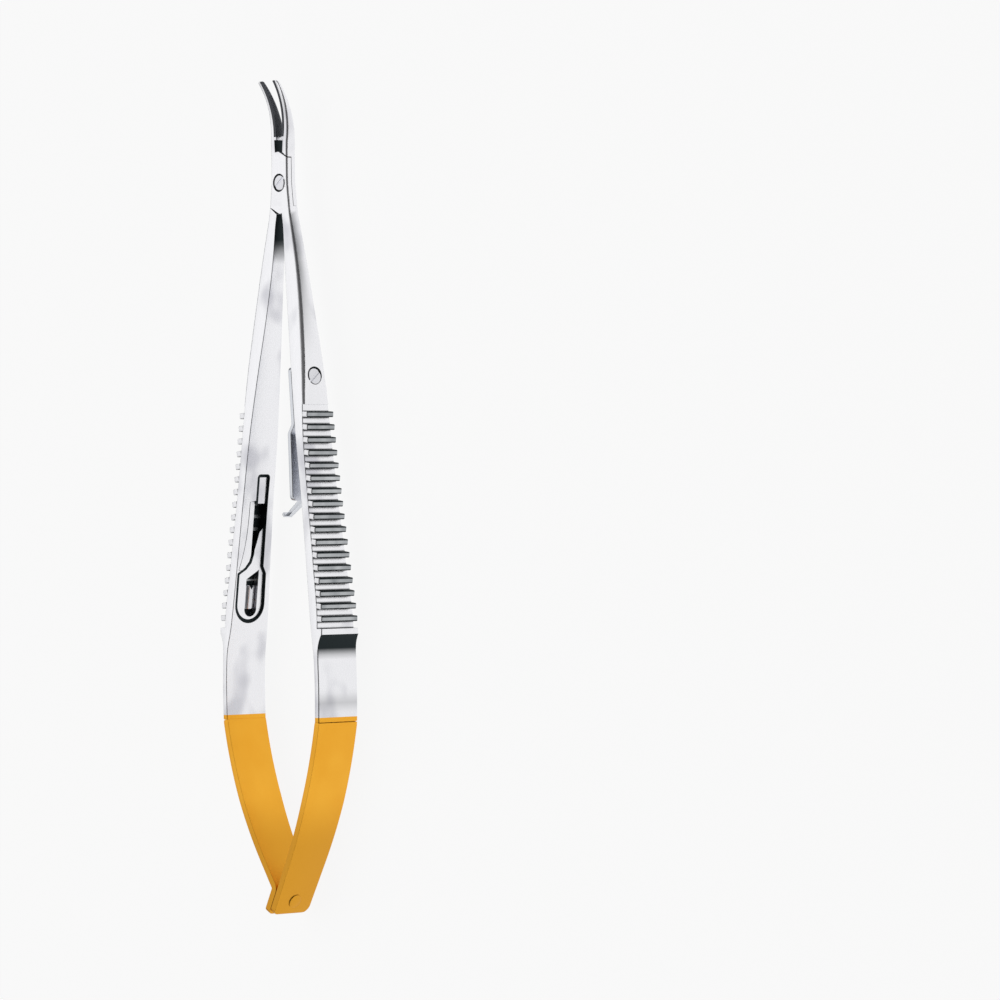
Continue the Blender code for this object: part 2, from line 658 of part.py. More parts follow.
def leaf_form(path):
    """Strip of spring steel along a path, narrowing towards the tail and rounded at its free corners."""
    length = [0.0]
    for (x0, d0, _), (x1, d1, _) in zip(path, path[1:], strict=False):
        length.append(length[-1] + math.hypot(x1 - x0, d1 - d0))
    stations = list(zip(path, length, strict=True))
    total = length[-1]
    last_x, last_distance, lean = path[-1]
    ending = [0.05, 0.2, 0.5, 0.9, TAIL_CORNER_RADIUS]
    body = [(point, along) for point, along in stations if along < total - TAIL_CORNER_RADIUS - 0.05]
    for back in reversed(ending):
        point = (last_x + math.sin(lean) * back, last_distance - math.cos(lean) * back, lean)
        body.append((point, total - back))
    rings = []
    for (x, distance, heading), along in body:
        narrowing = min(1.0, max(0.0, (along - 0.4 * total) / (0.6 * total)))
        depth = LEAF_DEPTH + (LEAF_TAIL_DEPTH - LEAF_DEPTH) * narrowing
        back = total - along
        if back < TAIL_CORNER_RADIUS:
            depth -= 2 * (TAIL_CORNER_RADIUS - math.sqrt(TAIL_CORNER_RADIUS**2 - (TAIL_CORNER_RADIUS - back) ** 2))
        half_thickness = LEAF_THICKNESS / 2
        outline = rounded(-half_thickness, half_thickness, -depth / 2, depth / 2, LEAF_EDGE, LEAF_EDGE)
        side = Vector((math.cos(heading), -math.sin(heading), 0.0))
        middle = Vector((x, -distance, 0.0))
        rings.append([middle + side * u + Vector((0.0, 0.0, z)) for u, z in outline])
    return loft(rings)


def rivet_frame():
    """Placement of the tail rivet, midway through the lapped ends, with local Z out of the right leaf."""
    x, distance, lean = right_path()[-1]
    back = RIVET_FROM_END
    out = Vector((math.cos(lean), -math.sin(lean), 0.0))
    middle = Vector((x + math.sin(lean) * back, -(distance - math.cos(lean) * back), 0.0))
    middle -= out * (LEAF_THICKNESS + SEAT_FIT) / 2
    return frame_at(middle, Vector((0.0, 0.0, 1.0)), Vector((out.y, -out.x, 0.0)))


def rivet(surface):
    stack = LEAF_THICKNESS + SEAT_FIT / 2
    shank, head = RIVET_DIAMETER / 2, RIVET_HEAD_DIAMETER / 2
    seat = stack + SEAT_FIT
    crown = seat + RIVET_HEAD_HEIGHT
    profile = [(head * 0.7, -crown), (head, -seat - 0.1), (head, -seat), (shank, -seat)]
    profile += [(shank, seat), (head, seat), (head, seat + 0.1), (head * 0.7, crown)]
    body = finish("tail_rivet", turned(profile), surface, pivot, rivet_frame())
    hole = turned([(shank + SEAT_FIT, -6.0), (shank + SEAT_FIT, 6.0)])
    return body, finish("rivet_hole", hole, parent=pivot, matrix=rivet_frame())


for old in list(bpy.data.objects):
    bpy.data.objects.remove(old)

STEEL = material("satin_steel", (0.62, 0.62, 0.63), 1.0, 0.32)
RIGHT_STEEL = material("satin_steel_right", (0.60, 0.61, 0.63), 1.0, 0.32)
CARBIDE = material("tungsten_carbide", (0.12, 0.12, 0.13), 1.0, 0.45)
SCREW_STEEL = material("screw_steel", (0.55, 0.56, 0.58), 1.0, 0.28)
SPRING_STEEL = material("spring_steel", (0.50, 0.52, 0.56), 1.0, 0.30)
GOLD = material("gold_plate", (0.85, 0.55, 0.12), 1.0, 0.30)

leaf_end = right_path()[-1]
tail_reach = leaf_end[1] + math.sin(leaf_end[2]) * LEAF_THICKNESS / 2
pivot = bpy.data.objects.new("pivot_axis", None)
bpy.context.scene.collection.objects.link(pivot)
pivot.location = Vector((0.0, (tail_reach - JAW_REACH) / 2, MID_HEIGHT)) * MM

left = half("left_handle", -1, -1, STEEL)
right = half("right_handle", 1, 1, RIGHT_STEEL)
left_insert = finish("left_jaw_insert", insert_form(-1), CARBIDE, pivot)
right_insert = finish("right_jaw_insert", insert_form(1), CARBIDE, pivot)

top_face = Matrix.Translation(Vector((0.0, 0.0, JAW_BASE_DEPTH / 2)) * MM) @ Matrix.Rotation(math.radians(38), 4, "Z")
pivot_sizes = (PIVOT_HEAD_DIAMETER, PIVOT_HEAD_HEIGHT, PIVOT_SHANK_DIAMETER)
screw("pivot_screw", *pivot_sizes, JAW_BASE_DEPTH, top_face, SCREW_STEEL)
boolean(right, screw_hole("pivot_bore_right", *pivot_sizes, top_face, RUNNING_FIT), "DIFFERENCE")
boolean(left, screw_hole("pivot_bore_left", *pivot_sizes, top_face, SEAT_FIT), "DIFFERENCE")

outward = lock_axis()
_, lock_outer, _, _ = smooth(HANDLE_STATIONS, LOCK_SCREW_DISTANCE)
lock_spot = Vector((lock_outer + 0.05, -LOCK_SCREW_DISTANCE, 0.0))
lock_matrix = frame_at(lock_spot, Vector((0.0, 0.0, 1.0)), Vector((outward.y, -outward.x, 0.0)))
lock_length = lock_outer + 0.05 - inner_face(LOCK_SCREW_DISTANCE) + LOCK_LEAF_THICKNESS + SEAT_FIT
lock_sizes = (LOCK_HEAD_DIAMETER, LOCK_HEAD_HEIGHT, LOCK_SHANK_DIAMETER)
screw("lock_screw", *lock_sizes, lock_length, lock_matrix, SCREW_STEEL)
boolean(right, screw_hole("lock_bore", *lock_sizes, lock_matrix, SEAT_FIT), "DIFFERENCE")
lock = lock_leaf(SPRING_STEEL)
boolean(lock, screw_hole("lock_leaf_bore", *lock_sizes, lock_matrix, RUNNING_FIT), "DIFFERENCE")

for cutter in catch_cutters():
    boolean(left, cutter, "DIFFERENCE")
saddle(SCREW_STEEL)

right_leaf = finish("right_spring_leaf", leaf_form(right_path()), GOLD, pivot)
left_leaf = finish("left_spring_leaf", leaf_form(left_path()), GOLD, pivot)
_, rivet_hole = rivet(GOLD)
boolean(right_leaf, rivet_hole, "DIFFERENCE")
boolean(left_leaf, rivet_hole, "DIFFERENCE")
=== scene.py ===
"""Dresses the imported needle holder: forgings, ribbed grips, carbide linings, screws, lock and gilt springs.

Shapes are worked in millimetres from the pivot, as X across, "distance" towards the tail and Z up, and stored in
metres.
"""

import math

import bmesh
import bpy
from mathutils import Matrix, Vector


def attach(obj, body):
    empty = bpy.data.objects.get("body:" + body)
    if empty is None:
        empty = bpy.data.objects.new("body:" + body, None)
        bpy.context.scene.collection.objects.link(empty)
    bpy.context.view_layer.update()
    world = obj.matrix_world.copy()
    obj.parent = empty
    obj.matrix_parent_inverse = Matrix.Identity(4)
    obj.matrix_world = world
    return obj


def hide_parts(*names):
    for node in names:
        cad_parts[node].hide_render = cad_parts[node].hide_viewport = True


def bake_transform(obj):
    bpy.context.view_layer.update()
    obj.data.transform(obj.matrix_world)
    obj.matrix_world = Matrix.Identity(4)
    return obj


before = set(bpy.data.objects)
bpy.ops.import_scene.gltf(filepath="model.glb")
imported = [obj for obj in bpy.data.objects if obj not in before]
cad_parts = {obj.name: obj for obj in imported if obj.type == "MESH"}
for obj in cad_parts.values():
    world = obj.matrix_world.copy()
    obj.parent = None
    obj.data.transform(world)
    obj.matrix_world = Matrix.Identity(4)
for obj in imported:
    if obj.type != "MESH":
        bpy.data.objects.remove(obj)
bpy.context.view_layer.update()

MM = 0.001
PIVOT = Vector((0.0, 52.857, 4.25))  # millimetres, in the row frame

# Sizes of the forms, in millimetres
RUNNING_FIT = 0.10  # between pieces that turn on each other
SEAT_FIT = 0.08  # between pieces that are brazed, welded or screwed together

JAW_REACH = 17.0
JAW_TIP_DEPTH = 0.60
JAW_BASE_DEPTH = 2.0
JAW_TAPER_LENGTH = 10.1
JAW_CURVE_RADIUS = 14.8
JAW_CURVE_LENGTH = 9.1
JAW_TIP_THICKNESS = 1.25
JAW_EDGE = 0.38
JAW_OPENING = math.radians(8.5)
MEET_GAP = 0.05
INSERT_THICKNESS = 0.50
INSERT_HEEL = 7.8
HEEL_STEP_LENGTH = 0.5
HEEL_STEP_RELIEF = 0.45
TOOTH_PITCH = 0.30
TOOTH_HEIGHT = 0.11
LINING_INSET = 0.04  # by which the lining is shallower than the jaw, in all

JOINT_WIDTH = 4.2
SHOULDER_RADIUS = 5.2
SHOULDER_SLANT = math.radians(27)
JOINT_EDGE = 0.36
PIVOT_SCREW = (1.30, 0.50, 0.75)  # head radius, head height, shank radius
LOCK_SCREW = (1.35, 0.60, 0.70)
SLOT_WIDTH = 0.40
SLOT_DEPTH = 0.25

HANDLE_STATIONS = (
    # distance, inner face, outer face, depth, rounding of the outer edges
    (0.0, 0.30, 2.10, 2.00, 0.36),
    (5.2, 0.62, 2.75, 2.05, 0.40),
    (7.2, 0.95, 3.25, 2.14, 0.50),
    (12.9, 1.45, 4.60, 2.50, 0.62),
    (19.0, 2.25, 5.75, 3.10, 0.70),
    (25.0, 3.15, 6.65, 3.90, 0.75),
    (31.0, 4.15, 7.40, 4.80, 0.70),
    (37.0, 5.10, 7.85, 5.60, 0.50),
    (42.5, 5.95, 8.30, 6.20, 0.35),
    (53.3, 7.55, 9.65, 6.70, 0.35),
    (64.0, 8.95, 11.15, 7.30, 0.35),
    (74.5, 10.35, 12.40, 8.05, 0.35),
    (79.8, 11.30, 12.42, 8.50, 0.20),
    (85.0, 11.50, 12.55, 8.50, 0.20),
    (90.2, 11.42, 12.47, 8.50, 0.20),
)
HANDLE_END = HANDLE_STATIONS[-1][0]
GILT_LENGTH = 0.75  # gilded end of each handle, ahead of its seam
INNER_EDGE = 0.12

RIB_COUNT = 18
RIB_PITCH = 2.13
RIB_FIRST = 38.5
RIB_LENGTH = 0.95
RIB_HEIGHT = 0.85
RIB_EDGE = 0.20
RIB_SUNK = 0.50  # how far a rib reaches into the handle
RIB_DEPTH = 6.7  # depth that the rib's section is drawn for
RIB_SECTIONS = 5  # along a rib, so that the bevel of its ends has inner vertices
RIB_END_EDGE = 0.15
RIB_SHADE_STRIP = 0.17  # strip of painted shade along both sides of a rib
GROOVE_CUT = 0.33
GROOVE_EDGE = 0.15
GRIP_START = RIB_FIRST - (RIB_PITCH - RIB_LENGTH)
RIB_END = RIB_FIRST + (RIB_COUNT - 1) * RIB_PITCH + RIB_LENGTH
RUNOUT_LENGTH = 2.6
HOLLOW_LENGTH = 3.9  # stretch below the last rib that gets painted shade, fading at its end
HOLLOW_FADE = 1.6
CROTCH_END = 13.6  # stretch of painted shade between the handles behind the joint, fading at its end
CROTCH_FADE = 3.6
# Tones that follow the drawing's shading: a band across each thin end, the upper part of each outer face behind the
# joint, the front shoulder and the tail's gold
BAND_MIDDLE = 87.0
BAND_REACH = 1.9
BAND_SHADE = 0.30
FLANK_END = 29.0
FLANK_FADE = 14.0
FLANK_SHADE = 0.50
SHOULDER_SHADE = (-1.6, 0.4)  # from the shoulder's radius
GOLD_DEEPENS = (-49.0, -59.0)  # painted shade deepens the gold between these, along Y of the row frame
FOOT_SHADE = 0.30  # painted shade in the corner at each rib's foot

CATCH_TOP = 49.0
CATCH_BOTTOM = 74.1
CHANNEL_FAR = -2.00
CHANNEL_NEAR = 0.45
RECESS_DEPTH = 0.50
CHANNEL_DEPTH = 1.75
LIP_TOP = 4.3
LIP_NEAR = 1.85  # at the lip's head, growing to LIP_FOOT
LIP_FOOT = 3.30
LIP_SLOPE_DEPTH = 0.45
LIP_BACK = 0.90
LIP_POCKET_WIDTH = 1.25
LIP_POCKET_LENGTH = 4.2
CHANNEL_TOP = 4.9
CHANNEL_BOTTOM = 14.6
LOBE_FAR = -2.75
LOBE_NEAR = 3.35
LOBE_SHOULDER = 13.4
WINDOW_FAR = -1.60
WINDOW_NEAR = 1.00
WINDOW_TOP = 17.0
WINDOW_MARGIN = 0.9
SADDLE_TOP = 18.9
SADDLE_LENGTH = 4.0
SADDLE_HEIGHT = 1.15
SADDLE_NOTCH_DEPTH = 0.7
CATCH_RIM = 0.14  # broken edge round the catch
CATCH_MARGIN = 0.46  # strip of painted shade on the catch's floor along its walls
MARGIN_SHIFT = 0.30  # by which that strip is wider under the upper wall

LOCK_SCREW_DISTANCE = 32.6
LOCK_LEAF_TOP = 31.0
LOCK_BEND = 40.3
LOCK_BEND_LENGTH = 2.2
LOCK_END = 53.4
LOCK_LEAF_THICKNESS = 0.85
LOCK_LEAF_DEPTH = 5.80
LOCK_LEAF_TOP_DEPTH = 4.60
LOCK_STANDOFF = 2.15
LOCK_END_STANDOFF = 3.40
HOOK_WIDTH = 0.9
HOOK_THICKNESS = 1.0
HOOK_ENTRY = 1.55
HOOK_BARB_REACH = 0.95
HOOK_BARB_LENGTH = 0.50
HOOK_TIP_DISTANCE = 55.9
HOOK_SIDE = 0.30

LOCK_CORNER = 0.9
LOCK_EDGE = 0.14

LEAF_THICKNESS = 1.15
LEAF_DEPTH = 8.40
LEAF_TAIL_DEPTH = 7.40
LEAF_EDGE = 0.04
LEAF_START_ANGLE = math.radians(10.5)
RIGHT_LEAF_END_ANGLE = math.radians(28.0)
LEFT_LEAF_END_ANGLE = math.radians(31.5)
LEAF_BOW_LENGTH = 25.0
LEAF_TAIL_LENGTH = 9.8
FOOT_BEND_RADIUS = 0.9
TAIL_CORNER_RADIUS = 1.4
TAIL_TOP_CORNER_RADIUS = 0.7
FOOT_REACH = 0.6  # by which the left leaf's foot is longer than the lap, so that both leaves end level
RIVET_RADIUS = 0.75
RIVET_HEAD_RADIUS = 1.2
RIVET_HEAD_HEIGHT = 0.14
RIVET_FROM_END = 2.4

LOFT_STEP = 0.8  # between the sections of a plain stretch
FINE_STEP = 0.1
CAMERA_DISTANCE = 933.0
SEEN_WHITE = 0.90  # how much of the table is plain white to the camera, and how much in the metal
MIRRORED_WHITE = 0.92


def linear(code):
    """Linear RGBA of an sRGB hex colour."""
    channels = [int(code[i : i + 2], 16) / 255 for i in (1, 3, 5)]
    return (*[c / 12.92 if c <= 0.04045 else ((c + 0.055) / 1.055) ** 2.4 for c in channels], 1.0)


def node(tree, kind, inputs=None, **settings):
    """Adds a node. An input is a value or the output socket that feeds it."""
    made = tree.nodes.new(kind)
    for name, value in settings.items():
        setattr(made, name, value)
    for key, value in (inputs or {}).items():
        if isinstance(value, bpy.types.NodeSocket):
            tree.links.new(value, made.inputs[key])
        else:
            made.inputs[key].default_value = value
    return made


def math_node(tree, operation, first, second):
    return node(tree, "ShaderNodeMath", {0: first, 1: second}, operation=operation).outputs[0]


def empty_tree(owner):
    """Cleared node tree of a material or a world."""
    owner.use_nodes = True
    owner.node_tree.nodes.clear()
    return owner.node_tree


def added(name, data):
    """New object with this data, linked to the scene."""
    obj = bpy.data.objects.new(name, data)
    bpy.context.scene.collection.objects.link(obj)
    return obj


# Materials


def surface(name):
    made = bpy.data.materials.new(name)
    tree = empty_tree(made)
    shader = node(tree, "ShaderNodeBsdfPrincipled", {"Metallic": 1.0})
    node(tree, "ShaderNodeOutputMaterial", {"Surface": shader.outputs[0]})
    return made, tree, shader


def millimetres(tree, stretch):
    """Object coordinates scaled so that one unit of the pattern is the given size in millimetres along each axis."""
    place = node(tree, "ShaderNodeTexCoord").outputs["Object"]
    scale = [1 / (MM * size) for size in stretch]
    return node(tree, "ShaderNodeMapping", {"Vector": place, "Scale": scale}).outputs[0]


def grain(tree, stretch, detail=3.0):
    inputs = {"Vector": millimetres(tree, stretch), "Scale": 1.0, "Detail": detail}
    return node(tree, "ShaderNodeTexNoise", inputs).outputs[0]


def spread(tree, value, low, high):
    return node(tree, "ShaderNodeMapRange", {"Value": value, "To Min": low, "To Max": high}).outputs[0]


def eased(tree, value, start, end, low=0.0, high=1.0):
    """Smooth passage from low to high as the value goes from start to end."""
    limits = {"From Min": start, "From Max": end, "To Min": low, "To Max": high}
    return node(tree, "ShaderNodeMapRange", {"Value": value, **limits}, interpolation_type="SMOOTHSTEP").outputs[0]


def tint(tree, value, dark, light):
    """Mix of two colours, each a hex code or a socket."""
    ends = {key: linear(end) if isinstance(end, str) else end for key, end in (("A", dark), ("B", light))}
    return node(tree, "ShaderNodeMix", {"Factor": value, **ends}, data_type="RGBA").outputs["Result"]


def attribute(tree, name):
    return node(tree, "ShaderNodeAttribute", attribute_name=name).outputs["Fac"]


def wire_in(tree, shader, colour, roughness, height, lift):
    bump = node(tree, "ShaderNodeBump", {"Height": height, "Distance": lift * MM, "Strength": 1.0})
    for label, value in (("Base Color", colour), ("Roughness", roughness), ("Normal", bump.outputs[0])):
        tree.links.new(value, shader.inputs[label])


def with_painted_shade(tree, colour, roughness):
    """Paints shade into the steel's colour and roughens it, by the mesh's attribute painted_shade."""
    painted_shade = attribute(tree, "painted_shade")
    rough = node(tree, "ShaderNodeMath", {0: painted_shade, 1: 0.25, 2: roughness}, operation="MULTIPLY_ADD")
    # Painted shade: the colour is mixed towards dark grey #2C3335.
    return tint(tree, painted_shade, colour, "#2C3335"), rough.outputs[0]


def satin_steel():
    """Martensitic stainless steel, satin-ground along its length: bright, slightly cool, with soft greyer clouds."""
    made, tree, shader = surface("satin_ground_stainless")
    streaks = grain(tree, (0.16, 7.0, 0.16))
    patches = eased(tree, grain(tree, (7.0, 11.0, 7.0), 2.0), 0.30, 0.48)
    colour, rough = with_painted_shade(tree, tint(tree, patches, "#D4D4DA", "#F5F5F8"), spread(tree, streaks, 0.20, 0.36))
    wire_in(tree, shader, colour, rough, streaks, 0.006)
    return made


def rib_steel():
    """The same steel on the ribs, rougher from the blasting that gives them grip: painted shade mottles the crests
    darker, and the ground ends stay bright.
    """
    made, tree, shader = surface("blasted_stainless")
    blast = grain(tree, (0.12, 0.12, 0.12))
    # Painted shade: the crests are mottled darker than the plain steel.
    crest_painted_shade = tint(tree, grain(tree, (3.0, 5.0, 3.0), 2.0), "#6E7478", "#E2E4E6")
    ground = tint(tree, attribute(tree, "ground"), crest_painted_shade, "#F5F5F8")
    colour, rough = with_painted_shade(tree, ground, spread(tree, blast, 0.30, 0.44))
    wire_in(tree, shader, colour, rough, blast, 0.008)
    return made


def gold_plate():
    """Gold electroplate on satin spring steel: warm, the brushing just showing, with painted shade deepening it
    towards the tail.
    """
    made, tree, shader = surface("gold_electroplate")
    brushing = grain(tree, (0.14, 4.0, 0.14))
    along = node(tree, "ShaderNodeSeparateXYZ", {0: millimetres(tree, (1.0, 1.0, 1.0))}).outputs["Y"]
    plated = tint(tree, grain(tree, (7.0, 9.0, 7.0), 2.0), "#F0A62C", "#FFC044")
    # Painted shade: the gold deepens towards the tail.
    colour = tint(tree, eased(tree, along, *GOLD_DEEPENS), plated, "#E0A030")
    wire_in(tree, shader, colour, spread(tree, brushing, 0.30, 0.46), brushing, 0.004)
    return made


def even_metal(name, stretch, detail, colours, roughness, lift):
    """Metal whose colour, roughness and relief all follow one fine grain."""
    made, tree, shader = surface(name)
    marks = grain(tree, stretch, detail)
    wire_in(tree, shader, tint(tree, marks, *colours), spread(tree, marks, *roughness), marks, lift)
    return made


SATIN = satin_steel()
RIB_STEEL = rib_steel()
# Marker for the cutters' faces, which leave painted shade in the steel through the attribute painted_shade.
CUT_SHADE_MARK = bpy.data.materials.new("cut_face_shade_marker")
# Screw steel, turned and tumbled: smoother than the handles, with a trace of turning marks
TURNED = even_metal("turned_stainless", (0.10, 0.10, 0.10), 3.0, ("#D2D3D8", "#EAEAEE"), (0.16, 0.28), 0.003)
# Polished cold-rolled spring steel: a little darker and bluer, with rolling lines along the leaf
SPRING = even_metal("polished_spring_steel", (0.12, 5.0, 0.12), 3.0, ("#C4C7CE", "#E0E2E6"), (0.14, 0.26), 0.003)
# Sintered tungsten carbide: dark grey, matt and finely granular
CARBIDE = even_metal("sintered_carbide", (0.05, 0.05, 0.05), 2.0, ("#46484C", "#64666B"), (0.38, 0.55), 0.006)
GOLD = gold_plate()


# Building blocks


def placed(bm, matrix=None):
    """Object from a millimetre bmesh about the pivot, with its place in its mesh, in metres."""
    if matrix is not None:
        bm.transform(matrix)
    bmesh.ops.recalc_face_normals(bm, faces=bm.faces)
    bmesh.ops.translate(bm, vec=PIVOT, verts=bm.verts)
    bmesh.ops.scale(bm, vec=Vector((MM, MM, MM)), verts=bm.verts)
    mesh = bpy.data.meshes.new("form")
    bm.to_mesh(mesh)
    bm.free()
    return added("form", mesh)


def mark_cut_shade(obj, walls=True, floor=True):
    """Gives a cutter's walls, its last face, which cuts the floor, or both, the marker for painted shade."""
    obj.data.materials.append(SATIN)
    obj.data.materials.append(CUT_SHADE_MARK)
    for face in obj.data.polygons:
        face.material_index = int(walls)
    obj.data.polygons[-1].material_index = int(floor)
    return obj


def apply_modifiers(obj):
    """Turns the evaluated object into a plain mesh."""
    graph = bpy.context.evaluated_depsgraph_get()
    mesh = bpy.data.meshes.new_from_object(obj.evaluated_get(graph))
    obj.modifiers.clear()
    obj.data = mesh


def combine(obj, steps):
    """Applies (other, operation) Booleans in turn and removes the others."""
    for other, operation in steps:
        cut = obj.modifiers.new(operation, "BOOLEAN")
        cut.operation, cut.solver, cut.object = operation, "EXACT", other
        cut.material_mode = "TRANSFER"
    apply_modifiers(obj)
    for other, _ in steps:
        bpy.data.objects.remove(other)
    return obj


def finished(obj, name, material, body, slot, *nodes):
    """Names and finishes a piece, lets it ride on its body and lets it stand for its nodes."""
    obj.name = obj.data.name = name
    obj.data.materials.clear()
    obj.data.materials.append(material)
    obj.data.shade_smooth()
    obj.data.set_sharp_from_angle(angle=math.radians(30))
    if body:
        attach(obj, body)
    if nodes:
        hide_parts(*nodes)
    return obj


def soften(obj, width, segments=2):
    """Breaks the sharp edges by a small bevel."""
    edge = obj.modifiers.new("broken_edges", "BEVEL")
    edge.width, edge.segments = width * MM, segments
    edge.limit_method, edge.angle_limit = "ANGLE", math.radians(38)
    apply_modifiers(obj)
    return obj


def frame_at(origin, x_axis, y_axis):
    """Placement in millimetres about the pivot, with local X and Y along the given directions."""
    x_axis = Vector(x_axis).normalized()
    z_axis = x_axis.cross(Vector(y_axis)).normalized()
    turn = Matrix((x_axis, z_axis.cross(x_axis), z_axis)).transposed().to_4x4()
    return Matrix.Translation(Vector(origin)) @ turn


def loft(rings):
    """Closed skin through rings of equally many points, capped at both ends."""
    bm = bmesh.new()
    loops = [[bm.verts.new(point) for point in ring] for ring in rings]
    count = len(loops[0])
    for low, high in zip(loops, loops[1:], strict=False):
        for i in range(count):
            j = (i + 1) % count
            bm.faces.new((low[i], low[j], high[j], high[i]))
    bm.faces.new(loops[0])
    bm.faces.new(loops[-1])
    return bm


def prism(outline, low, high):
    return loft([[Vector((x, y, z)) for x, y in outline] for z in (low, high)])


def turned(profile, count=64):
    """Solid of revolution about local Z from (radius, height) points."""
    turns = [2 * math.pi * i / count for i in range(count)]
    return loft([[Vector((r * math.cos(a), r * math.sin(a), z)) for a in turns] for r, z in profile])


def rounded(inner, outer, low, high, inner_edge, outer_edge, count=6):
    """Rectangle with rounded corners, as (across, height) points."""
    corners = (
        (outer, high, -outer_edge, -outer_edge, 0),
        (inner, high, inner_edge, -inner_edge, 90),
        (inner, low, inner_edge, inner_edge, 180),
        (outer, low, -outer_edge, outer_edge, 270),
    )
    points = []
    for across, height, dx, dz, start in corners:
        for i in range(count + 1):
            turn = math.radians(start + 90 * i / count)
            radius = abs(dx)
            points.append((across + dx + radius * math.cos(turn), height + dz + radius * math.sin(turn)))
    return points


def ring_at(outline, distance, side=1):
    """Ring through (across, height) points at a distance, mirrored for side -1."""
    return [Vector((side * x, -distance, z)) for x, z in outline]


def clamped(value):
    return min(1.0, max(0.0, value))


def slope(before, here, after, k):
    left = (here[k] - before[k]) / (here[0] - before[0]) if here[0] > before[0] else None
    right = (after[k] - here[k]) / (after[0] - here[0]) if after[0] > here[0] else None
    if left is None or right is None:
        return right if left is None else left
    return 2 * left * right / (left + right) if left * right > 0 else 0.0


def smooth(table, distance):
    """Row of the table at a distance, on a smooth curve through its stations."""
    distance = min(max(distance, table[0][0]), table[-1][0])
    i = next(k for k in range(len(table) - 1) if table[k + 1][0] >= distance)
    before, here, after, beyond = table[max(i - 1, 0)], table[i], table[i + 1], table[min(i + 2, len(table) - 1)]
    span = after[0] - here[0]
    t = (distance - here[0]) / span
    return [
        (2 * t**3 - 3 * t**2 + 1) * here[k]
        + (t**3 - 2 * t**2 + t) * slope(before, here, after, k) * span
        + (3 * t**2 - 2 * t**3) * after[k]
        + (t**3 - t**2) * slope(here, after, beyond, k) * span
        for k in range(1, len(here))
    ]


def steps(start, end, length):
    count = max(1, math.ceil(abs(end - start) / length))
    return [start + (end - start) * i / count for i in range(count + 1)]


# Repeated features by Geometry Nodes


def repeat_tree(name, sizes):
    """Empty tree with a geometry input, the named size inputs and a finish."""
    tree = bpy.data.node_groups.new(name, "GeometryNodeTree")
    tree.interface.new_socket("Places", in_out="INPUT", socket_type="NodeSocketGeometry")
    for label in sizes:
        tree.interface.new_socket(label, in_out="INPUT", socket_type="NodeSocketFloat").subtype = "DISTANCE"
    tree.interface.new_socket("Finish", in_out="INPUT", socket_type="NodeSocketMaterial")
    tree.interface.new_socket("Pieces", in_out="OUTPUT", socket_type="NodeSocketGeometry")
    return tree, node(tree, "NodeGroupInput").outputs


def vector(tree, **parts):
    return node(tree, "ShaderNodeCombineXYZ", parts).outputs[0]


def set_out(tree, given, shape, rotation, scale=None):
    """Puts the shape at each place, makes it real and gives it its finish."""
    inputs = {"Points": given["Places"], "Instance": shape, "Rotation": rotation}
    if scale is not None:
        inputs["Scale"] = scale
    instances = node(tree, "GeometryNodeInstanceOnPoints", inputs).outputs[0]
    real = node(tree, "GeometryNodeRealizeInstances", {0: instances}).outputs[0]
    covered = node(tree, "GeometryNodeSetMaterial", {"Geometry": real, "Material": given["Finish"]}).outputs[0]
    node(tree, "NodeGroupOutput", {0: covered})


def stored(tree, name):
    return node(tree, "GeometryNodeInputNamedAttribute", {"Name": name}, data_type="FLOAT").outputs[0]


def rib_tree():
    """A rounded bar across the handle at each place, turned and lengthened to suit it."""
    tree, given = repeat_tree("grip_ribs", ("Rib Length", "Rib Height", "Sunk", "Drawn Depth", "Edge Radius"))
    width = math_node(tree, "ADD", given["Rib Height"], given["Sunk"])
    ends = {
        label: vector(tree, Y=math_node(tree, "MULTIPLY", given["Rib Length"], share))
        for label, share in (("Start", -0.5), ("End", 0.5))
    }
    line = node(tree, "GeometryNodeCurvePrimitiveLine", ends).outputs[0]
    line = node(tree, "GeometryNodeResampleCurve", {"Curve": line, "Count": RIB_SECTIONS}).outputs[0]
    sizes = {"Width": width, "Height": given["Drawn Depth"]}
    frame_curve = node(tree, "GeometryNodeCurvePrimitiveQuadrilateral", sizes).outputs[0]
    section = node(
        tree,
        "GeometryNodeFilletCurve",
        {"Curve": frame_curve, "Count": 6, "Radius": given["Edge Radius"], "Limit Radius": True},
        mode="POLY",
    ).outputs[0]
    swept = {"Curve": line, "Profile Curve": section, "Fill Caps": True}
    bar = node(tree, "GeometryNodeCurveToMesh", swept).outputs[0]
    proud = math_node(tree, "SUBTRACT", math_node(tree, "MULTIPLY", width, 0.5), given["Sunk"])
    raised = node(tree, "GeometryNodeTransform", {"Geometry": bar, "Translation": vector(tree, X=proud)}).outputs[0]
    rotation = node(tree, "FunctionNodeEulerToRotation", {0: vector(tree, Z=stored(tree, "turn"))}).outputs[0]
    scale = vector(tree, X=1.0, Y=1.0, Z=math_node(tree, "DIVIDE", stored(tree, "depth"), given["Drawn Depth"]))
    set_out(tree, given, raised, rotation, scale)
    return tree


def tooth_tree():
    """A low four-sided pyramid at each place of the gripping face."""
    tree, given = repeat_tree("grip_teeth", ("Tooth Width", "Tooth Height"))
    radius = math_node(tree, "MULTIPLY", given["Tooth Width"], math.sqrt(0.5))
    cone = node(
        tree,
        "GeometryNodeMeshCone",
        {"Vertices": 4, "Radius Top": 0.0, "Radius Bottom": radius, "Depth": given["Tooth Height"]},
    ).outputs["Mesh"]
    lean = vector(tree, X=stored(tree, "turn"), Y=stored(tree, "facing"))
    rotation = node(tree, "FunctionNodeEulerToRotation", {0: lean}).outputs[0]
    set_out(tree, given, cone, rotation)
    return tree


